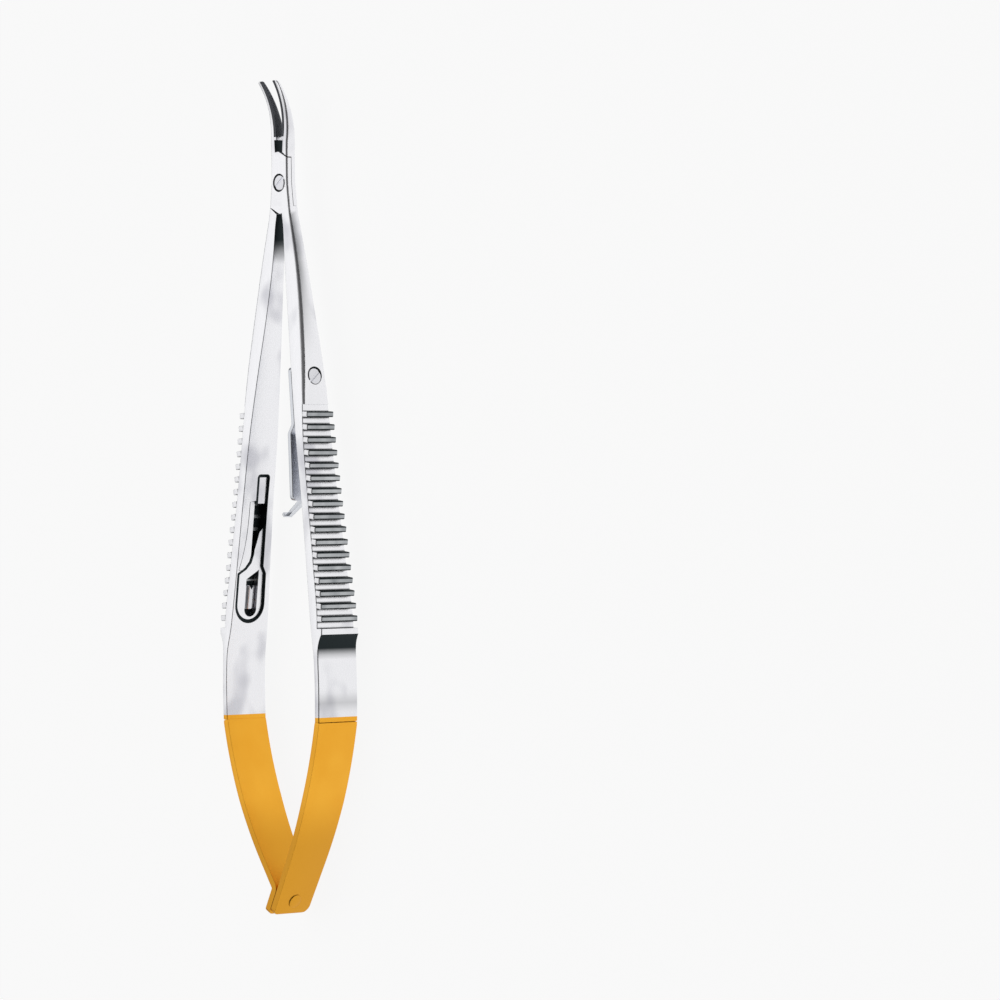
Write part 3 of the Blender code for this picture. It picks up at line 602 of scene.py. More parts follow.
def repeated(tree, places, values, finish, **attributes):
    """Runs the tree over places in millimetres and returns the plain mesh. Values are millimetres by input name."""
    bm = bmesh.new()
    for place in places:
        bm.verts.new(place)
    obj = placed(bm)
    for name, numbers in attributes.items():
        held = obj.data.attributes.new(name, "FLOAT", "POINT")
        for item, number in zip(held.data, numbers, strict=True):
            item.value = number
    maker = obj.modifiers.new(tree.name, "NODES")
    maker.node_group = tree
    for item in tree.interface.items_tree:
        if item.in_out == "INPUT" and item.name in values:
            maker[item.identifier] = values[item.name] * MM
        elif item.in_out == "INPUT" and item.name == "Finish":
            maker[item.identifier] = finish
    apply_modifiers(obj)
    return obj


# Forged halves


def runout(distance):
    """Height of the hollow sweep that carries the last rib down to the thin end of the handle."""
    if not RIB_END - RIB_LENGTH <= distance <= RIB_END + RUNOUT_LENGTH:
        return 0.0
    return RIB_HEIGHT * min(1.0, 1 - (distance - RIB_END) / RUNOUT_LENGTH) ** 2


def handle_ring(side, distance):
    inner, outer, depth, edge = smooth(HANDLE_STATIONS, distance)
    last = RIB_END - RIB_LENGTH
    if GRIP_START < distance < last:
        outer -= GROOVE_CUT
        edge = GROOVE_EDGE
    elif last <= distance < RIB_END + RUNOUT_LENGTH:
        outer += runout(distance)
        edge = GROOVE_EDGE + (RIB_EDGE - GROOVE_EDGE) * runout(distance) / RIB_HEIGHT
    outline = rounded(inner, outer, -depth / 2, depth / 2, INNER_EDGE, edge)
    return ring_at(outline, distance, side)


def handle_form(side):
    last = RIB_END - RIB_LENGTH
    stops = steps(0, GRIP_START, LOFT_STEP) + [GRIP_START + 0.01]
    stops += steps(GRIP_START + 0.2, last - 0.01, LOFT_STEP)
    for rib in range(RIB_COUNT):
        start = RIB_FIRST + rib * RIB_PITCH
        feet = (start - FOOT_SHADE, start - 0.03, start + RIB_LENGTH + 0.03, start + RIB_LENGTH + FOOT_SHADE)
        stops += [foot for foot in feet if foot < last - 0.02]
    stops = sorted(set(stops))
    stops += steps(last, RIB_END, FINE_STEP) + steps(RIB_END, RIB_END + RUNOUT_LENGTH, FINE_STEP)[1:]
    stops += steps(RIB_END + RUNOUT_LENGTH, HANDLE_END - GILT_LENGTH, LOFT_STEP)[1:]
    return loft([handle_ring(side, distance) for distance in stops])


def gilt_end(side):
    """The handle's last stretch, which the plating covers, with a tongue that closes most of the seam."""
    rings = []
    for distance, inset in (
        (HANDLE_END - GILT_LENGTH, 0.0),
        (HANDLE_END - 0.07, 0.0),
        (HANDLE_END - 0.02, 0.01),
        (HANDLE_END, 0.03),
        (HANDLE_END + 0.001, 0.12),
        (HANDLE_END + SEAT_FIT - 0.02, 0.12),
    ):
        inner, outer, depth, edge = smooth(HANDLE_STATIONS, distance)
        half_depth = depth / 2 - inset
        outline = rounded(inner + inset, outer - inset, -half_depth, half_depth, INNER_EDGE, edge)
        rings.append(ring_at(outline, distance, side))
    return loft(rings)


def grip_ribs(side, tree):
    """All the ribs of a handle but the last, whose place the sweep takes."""
    places, turns, depths = [], [], []
    for rib in range(RIB_COUNT):
        middle = RIB_FIRST + rib * RIB_PITCH + RIB_LENGTH / 2
        _, outer, depth, _ = smooth(HANDLE_STATIONS, middle)
        climb = math.atan(smooth(HANDLE_STATIONS, middle + 0.5)[1] - smooth(HANDLE_STATIONS, middle - 0.5)[1])
        places.append(Vector((side * outer, -middle, 0.0)))
        turns.append(-climb if side > 0 else math.pi + climb)
        depths.append(depth * MM)
    values = {
        "Rib Length": RIB_LENGTH,
        "Rib Height": RIB_HEIGHT,
        "Sunk": RIB_SUNK,
        "Drawn Depth": RIB_DEPTH,
        "Edge Radius": RIB_EDGE,
    }
    bars = repeated(tree, places[:-1], values, RIB_STEEL, turn=turns[:-1], depth=depths[:-1])
    ribs = soften(bars, RIB_END_EDGE, 3)
    # Painted shade in a strip along both sides of each rib, not on the ends.
    painted_shade = ribs.data.attributes.new("painted_shade", "FLOAT", "CORNER")
    ground = ribs.data.attributes.new("ground", "FLOAT", "CORNER")
    for face in ribs.data.polygons:
        end = abs(face.normal.z) > 0.7
        for corner in face.loop_indices:
            place = ribs.data.vertices[ribs.data.loops[corner].vertex_index].co / MM - PIVOT
            rib = min(range(len(places)), key=lambda k: abs(places[k].y - place.y))
            climb = turns[rib] if side > 0 else turns[rib] - math.pi
            offset = place - places[rib]
            along = abs(offset.y * math.cos(climb) - offset.x * math.sin(climb))
            painted_shade.data[corner].value = 1.0 if not end and along > RIB_LENGTH / 2 - RIB_SHADE_STRIP else 0.0
            ground.data[corner].value = float(end)
    return ribs


def jaw_rise(reach):
    past = max(0.0, reach - (JAW_REACH - JAW_CURVE_LENGTH))
    return JAW_CURVE_RADIUS - math.sqrt(JAW_CURVE_RADIUS**2 - past**2)


def jaw_depth(reach):
    return JAW_TIP_DEPTH + (JAW_BASE_DEPTH - JAW_TIP_DEPTH) * min(1.0, (JAW_REACH - reach) / JAW_TAPER_LENGTH)


def grip_face(reach):
    return reach * math.tan(JAW_OPENING / 2) + MEET_GAP


def jaw_outer(reach):
    share = clamped((reach - SHOULDER_RADIUS) / (JAW_REACH - SHOULDER_RADIUS))
    base = JOINT_WIDTH / 2
    return base + (grip_face(JAW_REACH) + JAW_TIP_THICKNESS - base) * share


def jaw_ring(side, reach, inner, outer, depth, edge):
    middle = jaw_rise(reach)
    outline = rounded(inner, outer, middle - depth / 2, middle + depth / 2, min(INNER_EDGE, edge / 2), edge)
    return ring_at(outline, -reach, side)


def jaw_form(side):
    """Steel jaw: root in the joint, relief, heel step, then the seat of the insert up to the rounded tip."""
    seat = INSERT_THICKNESS + SEAT_FIT
    heel = INSERT_HEEL - SEAT_FIT
    step = heel - HEEL_STEP_LENGTH
    profile = [(reach, HEEL_STEP_RELIEF) for reach in (0.0, *steps(SHOULDER_RADIUS, step, 0.4))]
    profile += [(step + 0.001, 0.0), (heel, 0.0)]
    profile += [(reach, seat) for reach in steps(heel + 0.001, JAW_REACH - 0.5, 0.25)]
    rings = []
    for reach, relief in profile:
        edge = min(JAW_EDGE, 0.4 * jaw_depth(reach)) if reach > SHOULDER_RADIUS else JOINT_EDGE
        rings.append(jaw_ring(side, reach, grip_face(reach) + relief, jaw_outer(reach), jaw_depth(reach), edge))
    for i in range(1, 9):
        turn = math.radians(90 * i / 9)
        reach = JAW_REACH - 0.5 * (1 - math.sin(turn))
        share = 0.4 + 0.6 * math.cos(turn)
        inner = grip_face(reach) + seat
        outer = inner + (jaw_outer(reach) - inner) * share
        depth = jaw_depth(reach) * share
        rings.append(jaw_ring(side, reach, inner, outer, depth, 0.4 * min(depth, outer - inner)))
    return loft(rings)


def insert_form(side):
    """Body of the lining, whose face is cut back by the depth of the teeth."""
    rings = []
    for reach in [*steps(INSERT_HEEL, JAW_REACH - 0.12, 0.25), JAW_REACH]:
        share = 0.5 if reach == JAW_REACH else 1.0
        inner = grip_face(reach)
        depth = jaw_depth(reach) * share - LINING_INSET
        rings.append(jaw_ring(side, reach, inner + 0.8 * TOOTH_HEIGHT, inner + INSERT_THICKNESS, depth, 0.06))
    return loft(rings)


def insert_teeth(side, tree):
    places, turns, facings = [], [], []
    rows = int((JAW_REACH - INSERT_HEEL) / (TOOTH_PITCH / math.sqrt(2))) - 1
    for row in range(rows):
        reach = INSERT_HEEL + 0.25 + row * TOOTH_PITCH / math.sqrt(2)
        climb = math.atan2(jaw_rise(reach + 0.05) - jaw_rise(reach - 0.05), 0.1)
        room = jaw_depth(reach) / 2 - LINING_INSET - TOOTH_PITCH / math.sqrt(2)
        lane = TOOTH_PITCH * math.sqrt(2)
        start = 0.0 if row % 2 else lane / 2
        for k in range(-6, 7):
            aside = start + k * lane
            if abs(aside) > room:
                continue
            middle = Vector((grip_face(reach) + TOOTH_HEIGHT, reach, jaw_rise(reach)))
            middle += Vector((0.0, -math.sin(climb), math.cos(climb))) * aside
            places.append(Vector((side * middle.x, middle.y, middle.z)))
            turns.append(climb)
            facings.append(-side * math.pi / 2)
    values = {"Tooth Width": 0.96 * TOOTH_PITCH, "Tooth Height": TOOTH_HEIGHT}
    return repeated(tree, places, values, CARBIDE, turn=turns, facing=facings)


def shoulder_outline(side, swing, fit):
    """Outline of the lap from above: a circle with a slanting shoulder ahead of the pivot and another behind it."""
    points = []
    count = 240
    for i in range(count):
        turn = 2 * math.pi * i / count
        from_shoulder = (turn - swing + math.pi / 2) % math.pi - math.pi / 2
        flat = math.cos(from_shoulder - SHOULDER_SLANT) if from_shoulder > 0 else 0.0
        reach = SHOULDER_RADIUS * math.cos(SHOULDER_SLANT) / flat if flat > 0 else SHOULDER_RADIUS
        radius = min(SHOULDER_RADIUS, reach) + fit
        points.append((side * radius * math.sin(turn), radius * math.cos(turn)))
    return points


def joint_plate(side, face):
    rings = []
    for distance in steps(-SHOULDER_RADIUS - 1, SHOULDER_RADIUS + 1, 0.6):
        _, outer, depth, edge = smooth(HANDLE_STATIONS, max(0.0, distance))
        outline = rounded(-outer, outer, -depth / 2, depth / 2, edge, edge)
        rings.append(ring_at(outline, distance, side))
    trim = prism(shoulder_outline(side, 0.0, 0.0), face * RUNNING_FIT / 2, face * JAW_BASE_DEPTH)
    return combine(placed(loft(rings)), [(placed(trim), "INTERSECT")])


def lap_cutter(side, face):
    outline = shoulder_outline(-side, JAW_OPENING, RUNNING_FIT)
    return placed(prism(outline, face * RUNNING_FIT / 2, -face * JAW_BASE_DEPTH))


def screw_hole(sizes, matrix, fit):
    """Counterbore and through hole, with the counterbore's rim broken."""
    head, height, shank = sizes
    seat = -height - fit
    profile = [(shank + fit, -20.0), (shank + fit, seat), (head + fit, seat), (head + fit, -0.14)]
    # Painted shade on the counterbore and the bore.
    return mark_cut_shade(placed(turned([*profile, (head + fit + 0.17, 0.03), (head + fit + 0.17, 5.0)]), matrix))


def forging(side, face, bore, cutters):
    """One half: the cuts come before the joint's plate is joined on, and bore() gives the pivot screw's hole."""
    body = combine(placed(handle_form(side)), [(cutter, "DIFFERENCE") for cutter in cutters])
    jaw = placed(jaw_form(-side))
    combine(body, [(jaw, "UNION"), (lap_cutter(side, face), "DIFFERENCE"), (bore(), "DIFFERENCE")])
    plate = combine(joint_plate(side, face), [(bore(), "DIFFERENCE")])
    return combine(body, [(plate, "UNION")])


def painted_shade_share(side, place, middle, normal):
    """How much painted shade the steel gets at a corner of a face of a half, from 0 to 1.

    It gets painted shade where shade falls: between the jaws, between the handles behind the joint, in the hollow
    below the ribs and beside them; and on the right of the front shoulder, on the upper flanks and across the thin
    ends.
    """
    distance, across = -place.y, side * middle.x
    if distance < 0:
        in_crotch = SHOULDER_RADIUS < middle.y < INSERT_HEEL - HEEL_STEP_LENGTH - SEAT_FIT
        low, high = (SHOULDER_RADIUS + reach for reach in SHOULDER_SHADE)
        shoulder = low < middle.y < high and abs(normal.y) > 0.4 and middle.x > 0
        return 1.0 if shoulder or in_crotch and side * normal.x > 0.5 and across < 0 else 0.0
    inner, outer, _, _ = smooth(HANDLE_STATIONS, distance)
    if side * normal.x < -0.5 and across > 0.2 and distance > SHOULDER_RADIUS - 1:
        return clamped((CROTCH_END - distance) / CROTCH_FADE)
    if across < (inner + outer) / 2 or normal.z > 0.8:
        return 0.0
    if distance < FLANK_END:
        fade = min(1.0, (FLANK_END - distance) / FLANK_FADE)
        return FLANK_SHADE * fade if place.z > 0 and distance > SHOULDER_RADIUS else 0.0
    if -middle.y > RIB_END:
        hollow = clamped((RIB_END + HOLLOW_LENGTH - distance) / HOLLOW_FADE)
        return max(hollow, BAND_SHADE * max(0.0, 1 - abs(distance - BAND_MIDDLE) / BAND_REACH))
    rib = round((-middle.y - RIB_FIRST - RIB_LENGTH / 2) / RIB_PITCH)
    centre = RIB_FIRST + RIB_LENGTH / 2 + rib * RIB_PITCH
    beside = abs(-middle.y - centre) > RIB_LENGTH / 2 and abs(distance - centre) < RIB_LENGTH / 2 + 0.1
    return 1.0 if beside and 0 <= rib < RIB_COUNT else 0.0


def mark_painted_shade(obj, side):
    """Writes the attribute painted_shade: painted shade on the cutters' faces and where painted_shade_share puts it.
    """
    mesh = obj.data
    held = mesh.attributes.new("painted_shade", "FLOAT", "CORNER")
    for face in mesh.polygons:
        cut = mesh.materials[face.material_index] is CUT_SHADE_MARK if mesh.materials else False
        middle = face.center / MM - PIVOT
        for corner in face.loop_indices:
            place = mesh.vertices[mesh.loops[corner].vertex_index].co / MM - PIVOT
            held.data[corner].value = 1.0 if cut else painted_shade_share(side, place, middle, face.normal)


# Screws and the rivet


def screw(sizes, length, matrix, slot_turn=0.0):
    """Slotted cheese-head screw along local Z, its head slightly crowned and its edges rounded."""
    head, height, shank = sizes
    profile = [(shank - 0.08, -length), (shank, -length + 0.08), (shank, -height), (head - 0.05, -height)]
    profile += [(head, -height + 0.05), (head, -0.18)]
    profile += [(head - 0.18 + 0.18 * math.cos(t), -0.18 + 0.16 * math.sin(t)) for t in arc_turns(15, 90, 6)]
    profile += [(0.5 * head, -0.008), (0.05, 0.0)]
    reach, width = 2 * head, SLOT_WIDTH / 2
    section = [(-width, -SLOT_DEPTH), (width, -SLOT_DEPTH), (width, -0.07), (width + 0.06, 0.02), (width + 0.06, 1.0)]
    section += [(-width - 0.06, 1.0), (-width - 0.06, 0.02), (-width, -0.07)]
    rings = [[Vector((x, y, z)) for y, z in section] for x in (-reach, reach)]
    turned_slot = matrix @ Matrix.Rotation(slot_turn, 4, "Z")
    return combine(placed(turned(profile), matrix), [(placed(loft(rings), turned_slot), "DIFFERENCE")])


def rivet_frame():
    """Midway through the lapped ends of the leaves, with local Z out of the right leaf."""
    x, distance, lean = right_path()[-1]
    out = Vector((math.cos(lean), -math.sin(lean), 0.0))
    back = RIVET_FROM_END
    middle = Vector((x + math.sin(lean) * back, -(distance - math.cos(lean) * back), 0.0))
    middle -= out * (LEAF_THICKNESS + SEAT_FIT) / 2
    return frame_at(middle, Vector((0.0, 0.0, 1.0)), Vector((out.y, -out.x, 0.0)))


def rivet():
    """Rivet with a low domed head on each side of the lap."""
    seat = LEAF_THICKNESS + 1.5 * SEAT_FIT
    dome = [
        (max(0.04, RIVET_HEAD_RADIUS * math.cos(t)), seat + 0.02 + (RIVET_HEAD_HEIGHT - 0.02) * math.sin(t))
        for t in arc_turns(0, 90, 8)
    ]
    upper = [(RIVET_RADIUS, seat), (RIVET_HEAD_RADIUS, seat), *dome]
    return placed(turned([*[(r, -z) for r, z in reversed(upper)], *upper]), rivet_frame())


# Catch


def inner_face(distance):
    return smooth(HANDLE_STATIONS, distance)[0]


def catch_frame():
    """On the left handle's inner face, with local X into the handle and local Y towards the tail."""
    top = Vector((-inner_face(CATCH_TOP), -CATCH_TOP, 0.0))
    bottom = Vector((-inner_face(CATCH_BOTTOM), -CATCH_BOTTOM, 0.0))
    along = (bottom - top).normalized()
    return frame_at(top, Vector((along.y, -along.x, 0.0)), along)


def arc_turns(start, end, count):
    return [math.radians(start + (end - start) * i / count) for i in range(count + 1)]


def arc(centre_y, centre_z, radius, start, end, count=8):
    return [(centre_y + radius * math.cos(a), centre_z + radius * math.sin(a)) for a in arc_turns(start, end, count)]


def widened(outline, by):
    """Outline with each corner moved out along the bisector of its sides."""
    points = [Vector(point) for point in outline]
    area = sum(a.cross(b) for a, b in zip(points, points[1:] + points[:1], strict=True))
    sign = 1 if area > 0 else -1
    moved = []
    for i, point in enumerate(points):
        before = (point - points[i - 1]).normalized()
        after = (points[(i + 1) % len(points)] - point).normalized()
        out = Vector((before.y + after.y, -before.x - after.x)) * sign
        out.normalize()
        spread_out = max(0.5, out.dot(Vector((before.y, -before.x)) * sign))
        moved.append(point + out * by / spread_out)
    return moved


def catch_cut(outline, low, high, margin=0.0, walls=True):
    """Cutter to a depth, whose faces get painted shade. A margin leaves an unshaded floor inside a strip of painted
    shade, wider under the upper wall.
    """
    levels = [(low, 0.0), (high, 0.0)]
    if low < 0:
        levels = [(low, CATCH_RIM), (0.0, CATCH_RIM), (CATCH_RIM, 0.0), (high - CATCH_RIM, 0.0), (high, -CATCH_RIM)]
    rings = [[Vector((depth, y, z)) for y, z in widened(outline, by)] for depth, by in levels]
    if margin:
        rings.append([Vector((high, y, z - MARGIN_SHIFT)) for y, z in widened(outline, -margin)])
    return mark_cut_shade(placed(loft(rings), catch_frame()), walls, floor=not margin)


def recess_outline():
    corner = 0.5
    length = CATCH_BOTTOM - CATCH_TOP
    radius = (LOBE_NEAR - LOBE_FAR) / 2
    outline = arc(corner, CHANNEL_NEAR - corner, corner, 90, 180, 6)
    outline += arc(corner, CHANNEL_FAR + corner, corner, 180, 270, 6)
    outline += [(LOBE_SHOULDER + 2.2, CHANNEL_FAR), (LOBE_SHOULDER + 3.4, LOBE_FAR + 0.1)]
    outline += arc(length - radius, (LOBE_NEAR + LOBE_FAR) / 2, radius, -90, 90, 28)
    outline += [(LOBE_SHOULDER + 3.4, LOBE_NEAR), (LOBE_SHOULDER + 3.1, LOBE_NEAR - 0.4)]
    outline += [(LOBE_SHOULDER + 2.4, CHANNEL_NEAR + 1.3), (LOBE_SHOULDER + 1.4, CHANNEL_NEAR + 0.4)]
    return outline + [(LOBE_SHOULDER, CHANNEL_NEAR)]


def channel_outline():
    """Full width where the hook enters, then narrowing to a point along the lip."""
    hook_room, tip = CHANNEL_TOP + LIP_POCKET_LENGTH - 0.2, CHANNEL_BOTTOM
    outline = [(CHANNEL_TOP, CHANNEL_FAR), (hook_room, CHANNEL_FAR), (hook_room + 0.9, CHANNEL_FAR + 0.85)]
    outline += [(hook_room + 3.0, CHANNEL_FAR + 1.4), (tip - 0.7, CHANNEL_FAR + 2.0), (tip, CHANNEL_NEAR)]
    return outline + [(CHANNEL_TOP, CHANNEL_NEAR)]


def window_outline():
    radius = (WINDOW_NEAR - WINDOW_FAR) / 2
    foot = CATCH_BOTTOM - CATCH_TOP - WINDOW_MARGIN - radius
    outline = arc(foot, WINDOW_FAR + radius, radius, -90, 90, 20)
    return outline + [(WINDOW_TOP + 0.8, WINDOW_NEAR), (WINDOW_TOP - 0.8, WINDOW_FAR)]


def lip_cutter():
    """Slope beside the channel, shallow at its outer side, with a slanting head. All its faces but the slope get
    painted shade, which draws a dark line along its edges.
    """
    rings = []
    for i in range(13):
        share = i / 12
        y = LIP_TOP + 0.25 * min(1, i) + (LOBE_SHOULDER + 2.8 - LIP_TOP - 0.25) * max(0, i - 1) / 11
        near = LIP_NEAR + (LIP_FOOT - LIP_NEAR) * share**3
        sunk = LIP_SLOPE_DEPTH if i == 0 else 0.0
        ramp = [(-2.0, near), (0.06 - sunk, near), (0.09 - sunk, near - 0.16)]
        ramp += [(LIP_SLOPE_DEPTH - sunk, CHANNEL_NEAR), (-2.0, CHANNEL_NEAR)]
        rings.append([Vector((depth, y, z)) for depth, z in ramp])
    cutter = mark_cut_shade(placed(loft(rings), catch_frame()))
    sides = len(rings[0])
    for face in cutter.data.polygons:
        if sides <= face.index < sides * (len(rings) - 1) and face.index % sides == 2:
            face.material_index = 0
    return cutter


def catch_cutters():
    yield catch_cut(recess_outline(), -2.0, RECESS_DEPTH, CATCH_MARGIN)
    yield lip_cutter()
    yield catch_cut(channel_outline(), 0.5 * RECESS_DEPTH, CHANNEL_DEPTH)
    yield catch_cut(window_outline(), 0.5 * RECESS_DEPTH, CHANNEL_DEPTH, walls=False)
    near, low, high = CHANNEL_NEAR + LIP_POCKET_WIDTH, CHANNEL_TOP, CHANNEL_TOP + LIP_POCKET_LENGTH
    pocket = [(low, CHANNEL_NEAR - 0.5), (high, CHANNEL_NEAR - 0.5), (high, near), (low, near)]
    yield catch_cut(pocket, LIP_BACK, CHANNEL_DEPTH)


def saddle():
    """Half-round bar with a notched end and rounded rims, brazed to the floor of the window."""
    radius = (WINDOW_NEAR - WINDOW_FAR) / 2 - SEAT_FIT
    middle = (WINDOW_NEAR + WINDOW_FAR) / 2
    floor = CHANNEL_DEPTH - SEAT_FIT
    rings = []
    for y, inset in (
        (SADDLE_TOP, 0.08),
        (SADDLE_TOP + 0.08, 0.0),
        (SADDLE_TOP + SADDLE_LENGTH - 0.15, 0.0),
        (SADDLE_TOP + SADDLE_LENGTH - 0.04, 0.05),
        (SADDLE_TOP + SADDLE_LENGTH, 0.15),
    ):
        crown = [
            (floor - (SADDLE_HEIGHT - inset) * math.sin(t), middle + (radius - inset) * math.cos(t))
            for t in arc_turns(0, 180, 24)
        ]
        rings.append([Vector((depth, y, z)) for depth, z in crown])
    before = SADDLE_TOP - 0.5
    notch = [(before, middle - 0.8), (before, middle + 0.8), (SADDLE_TOP + SADDLE_NOTCH_DEPTH, middle)]
    cut = loft([[Vector((depth, y, z)) for y, z in notch] for depth in (-1.0, CHANNEL_DEPTH + 1.0)])
    return combine(placed(loft(rings), catch_frame()), [(placed(cut, catch_frame()), "DIFFERENCE")])


# Lock


def lock_seat(distance):
    return inner_face(distance) - SEAT_FIT


def lock_standoff(distance):
    if distance <= LOCK_BEND:
        return 0.0
    first = LOCK_STANDOFF - LOCK_LEAF_THICKNESS
    last = LOCK_END_STANDOFF - LOCK_LEAF_THICKNESS
    bent = min(1.0, (distance - LOCK_BEND) / LOCK_BEND_LENGTH)
    along = max(0.0, distance - LOCK_BEND - LOCK_BEND_LENGTH) / (LOCK_END - LOCK_BEND - LOCK_BEND_LENGTH)
    return first * bent**2 * (3 - 2 * bent) + (last - first) * along


def closed_hook_tip():
    """Open position of the hook's tip, so that the closed hook stands HOOK_ENTRY deep in the left handle."""
    x, distance = 0.0, HOOK_TIP_DISTANCE
    for _ in range(20):
        closed_x = x * math.cos(JAW_OPENING) - distance * math.sin(JAW_OPENING)
        closed_distance = distance * math.cos(JAW_OPENING) + x * math.sin(JAW_OPENING)
        x -= closed_x + inner_face(closed_distance) + HOOK_ENTRY
    return x, distance


def lock_leaf():
    """Leaf that lies on the handle, bends away from it and ends in a hook with a barb."""
    top, corner = LOCK_LEAF_TOP, LOCK_CORNER
    parts = (top + corner, LOCK_BEND, LOCK_BEND + LOCK_BEND_LENGTH, LOCK_END - corner, LOCK_END)
    stops = steps(top, parts[0], 0.06)
    for start, finish, length in zip(parts, parts[1:], (0.6, 0.12, 0.6, 0.06), strict=False):
        stops += steps(start, finish, length)[1:]
    rings = []
    for distance in stops:
        widening = clamped((distance - top) / (LOCK_BEND - top))
        depth = LOCK_LEAF_TOP_DEPTH + (LOCK_LEAF_DEPTH - LOCK_LEAF_TOP_DEPTH) * widening
        end = min(distance - top, LOCK_END - distance)
        if end < corner:
            depth -= 2 * (corner - math.sqrt(max(0.0, corner**2 - (corner - end) ** 2)))
        outer = lock_seat(distance) - lock_standoff(distance)
        outline = rounded(outer - LOCK_LEAF_THICKNESS, outer, -depth / 2, depth / 2, LOCK_EDGE, LOCK_EDGE)
        rings.append(ring_at(outline, distance))

    far = CHANNEL_FAR + HOOK_SIDE
    near = far + HOOK_WIDTH
    foot_distance = LOCK_END - 1.3
    foot_x = lock_seat(foot_distance) - lock_standoff(foot_distance) - LOCK_LEAF_THICKNESS / 2
    tip_x, tip_distance = closed_hook_tip()
    foot, tip = Vector((foot_x, -foot_distance)), Vector((tip_x, -tip_distance))
    ahead = (tip - foot).normalized()
    across = Vector((-ahead.y, ahead.x)) * HOOK_THICKNESS / 2
    barb = tip - ahead * HOOK_BARB_LENGTH
    stem = [foot - across * 1.3, foot + across * 1.3, tip + across * 0.7, tip - across * 0.7]
    end = tip - ahead * 0.04
    nose = [barb - across * 0.85, barb + across * 0.85, end + across * 0.64, end - across * 0.64]
    hook = soften(placed(prism([tuple(p) for p in stem], far, near)), 0.12, 3)
    hooked = soften(placed(prism([tuple(p) for p in nose], far + 0.1, near + HOOK_BARB_REACH)), 0.08, 3)
    return combine(placed(loft(rings)), [(hook, "UNION"), (hooked, "UNION")])


# Tail


def bow(end_angle):
    """Centre line of a leaf's bowed stretch, as (across, distance, heading)."""
    x, distance = smooth(HANDLE_STATIONS, HANDLE_END)[1] - LEAF_THICKNESS / 2, HANDLE_END + SEAT_FIT
    path = [(x, distance, LEAF_START_ANGLE)]
    pieces = 60
    step, turn = LEAF_BOW_LENGTH / pieces, (end_angle - LEAF_START_ANGLE) / pieces
    for _ in range(pieces):
        heading = path[-1][2] + turn / 2
        x -= math.sin(heading) * step
        distance += math.cos(heading) * step
        path.append((x, distance, heading + turn / 2))
    return path


def right_path():
    path = bow(RIGHT_LEAF_END_ANGLE)
    x, distance, heading = path[-1]
    for run in steps(0, LEAF_TAIL_LENGTH, 0.5)[1:]:
        path.append((x - math.sin(heading) * run, distance + math.cos(heading) * run, heading))
    return path


def left_path():
    """Centre line of the left leaf, which crosses to the right one and bends to lie along it as a foot."""
    end_x, end_distance, lean = right_path()[-1]
    lap = LEAF_THICKNESS + SEAT_FIT
    end = Vector((end_x - math.cos(lean) * lap, end_distance - math.sin(lean) * lap))
    end += Vector((-math.sin(lean), math.cos(lean))) * FOOT_REACH
    path = [(-x, distance, -heading) for x, distance, heading in bow(LEFT_LEAF_END_ANGLE)]
    start, come = Vector(path[-1][:2]), path[-1][2]
    arriving, leaving = Vector((-math.sin(come), math.cos(come))), Vector((-math.sin(lean), math.cos(lean)))
    run = (end - start).cross(leaving) / arriving.cross(leaving)
    tangent = FOOT_BEND_RADIUS * math.tan((lean - come) / 2)
    bend_start = start + arriving * (run - tangent)
    centre = bend_start - Vector((math.cos(come), math.sin(come))) * FOOT_BEND_RADIUS
    for i in range(17):
        heading = come + (lean - come) * i / 16
        spot = centre + Vector((math.cos(heading), math.sin(heading))) * FOOT_BEND_RADIUS
        path.append((spot.x, spot.y, heading))
    first = Vector(path[-1][:2])
    for share in [i / 8 for i in range(1, 9)]:
        spot = first.lerp(end, share)
        path.append((spot.x, spot.y, lean))
    return path


def corner_loss(radius, back):
    """What a rounded corner takes off the half depth at a place so far back from the end."""
    return radius - math.sqrt(max(0.0, radius**2 - max(0.0, radius - back) ** 2))


def leaf_form(path):
    """Strip of spring steel along a path, narrowing towards the tail, with its free corners rounded."""
    length = [0.0]
    for (x0, d0, _), (x1, d1, _) in zip(path, path[1:], strict=False):
        length.append(length[-1] + math.hypot(x1 - x0, d1 - d0))
    total = length[-1]
    last_x, last_distance, lean = path[-1]
    plain = total - TAIL_CORNER_RADIUS - 0.1
    body = [(point, along) for point, along in zip(path, length, strict=True) if along < plain]
    for i in range(25):
        back = TAIL_CORNER_RADIUS * (1 - math.sin(math.pi / 2 * i / 24))
        body.append(((last_x + math.sin(lean) * back, last_distance - math.cos(lean) * back, lean), total - back))
    rings = []
    for (x, distance, heading), along in body:
        narrowing = clamped((along - 0.4 * total) / (0.6 * total))
        half_depth = (LEAF_DEPTH + (LEAF_TAIL_DEPTH - LEAF_DEPTH) * narrowing) / 2
        back = total - along
        low = half_depth - corner_loss(TAIL_CORNER_RADIUS, back)
        high = half_depth - corner_loss(TAIL_TOP_CORNER_RADIUS, back)
        inset = max(0.0, 0.03 - along) + 0.5 * max(0.0, 0.1 - back)
        reach = LEAF_THICKNESS / 2 - inset
        outline = rounded(-reach, reach, inset - low, high - inset, LEAF_EDGE, LEAF_EDGE)
        side = Vector((math.cos(heading), -math.sin(heading), 0.0))
        middle = Vector((x, -distance, 0.0))
        rings.append([middle + side * u + Vector((0.0, 0.0, z)) for u, z in outline])
    return placed(loft(rings))


def leaf(path):
    hole = turned([(RIVET_RADIUS + SEAT_FIT, -6.0), (RIVET_RADIUS + SEAT_FIT, 6.0)])
    return combine(leaf_form(path), [(placed(hole, rivet_frame()), "DIFFERENCE")])


# Camera, floor and light


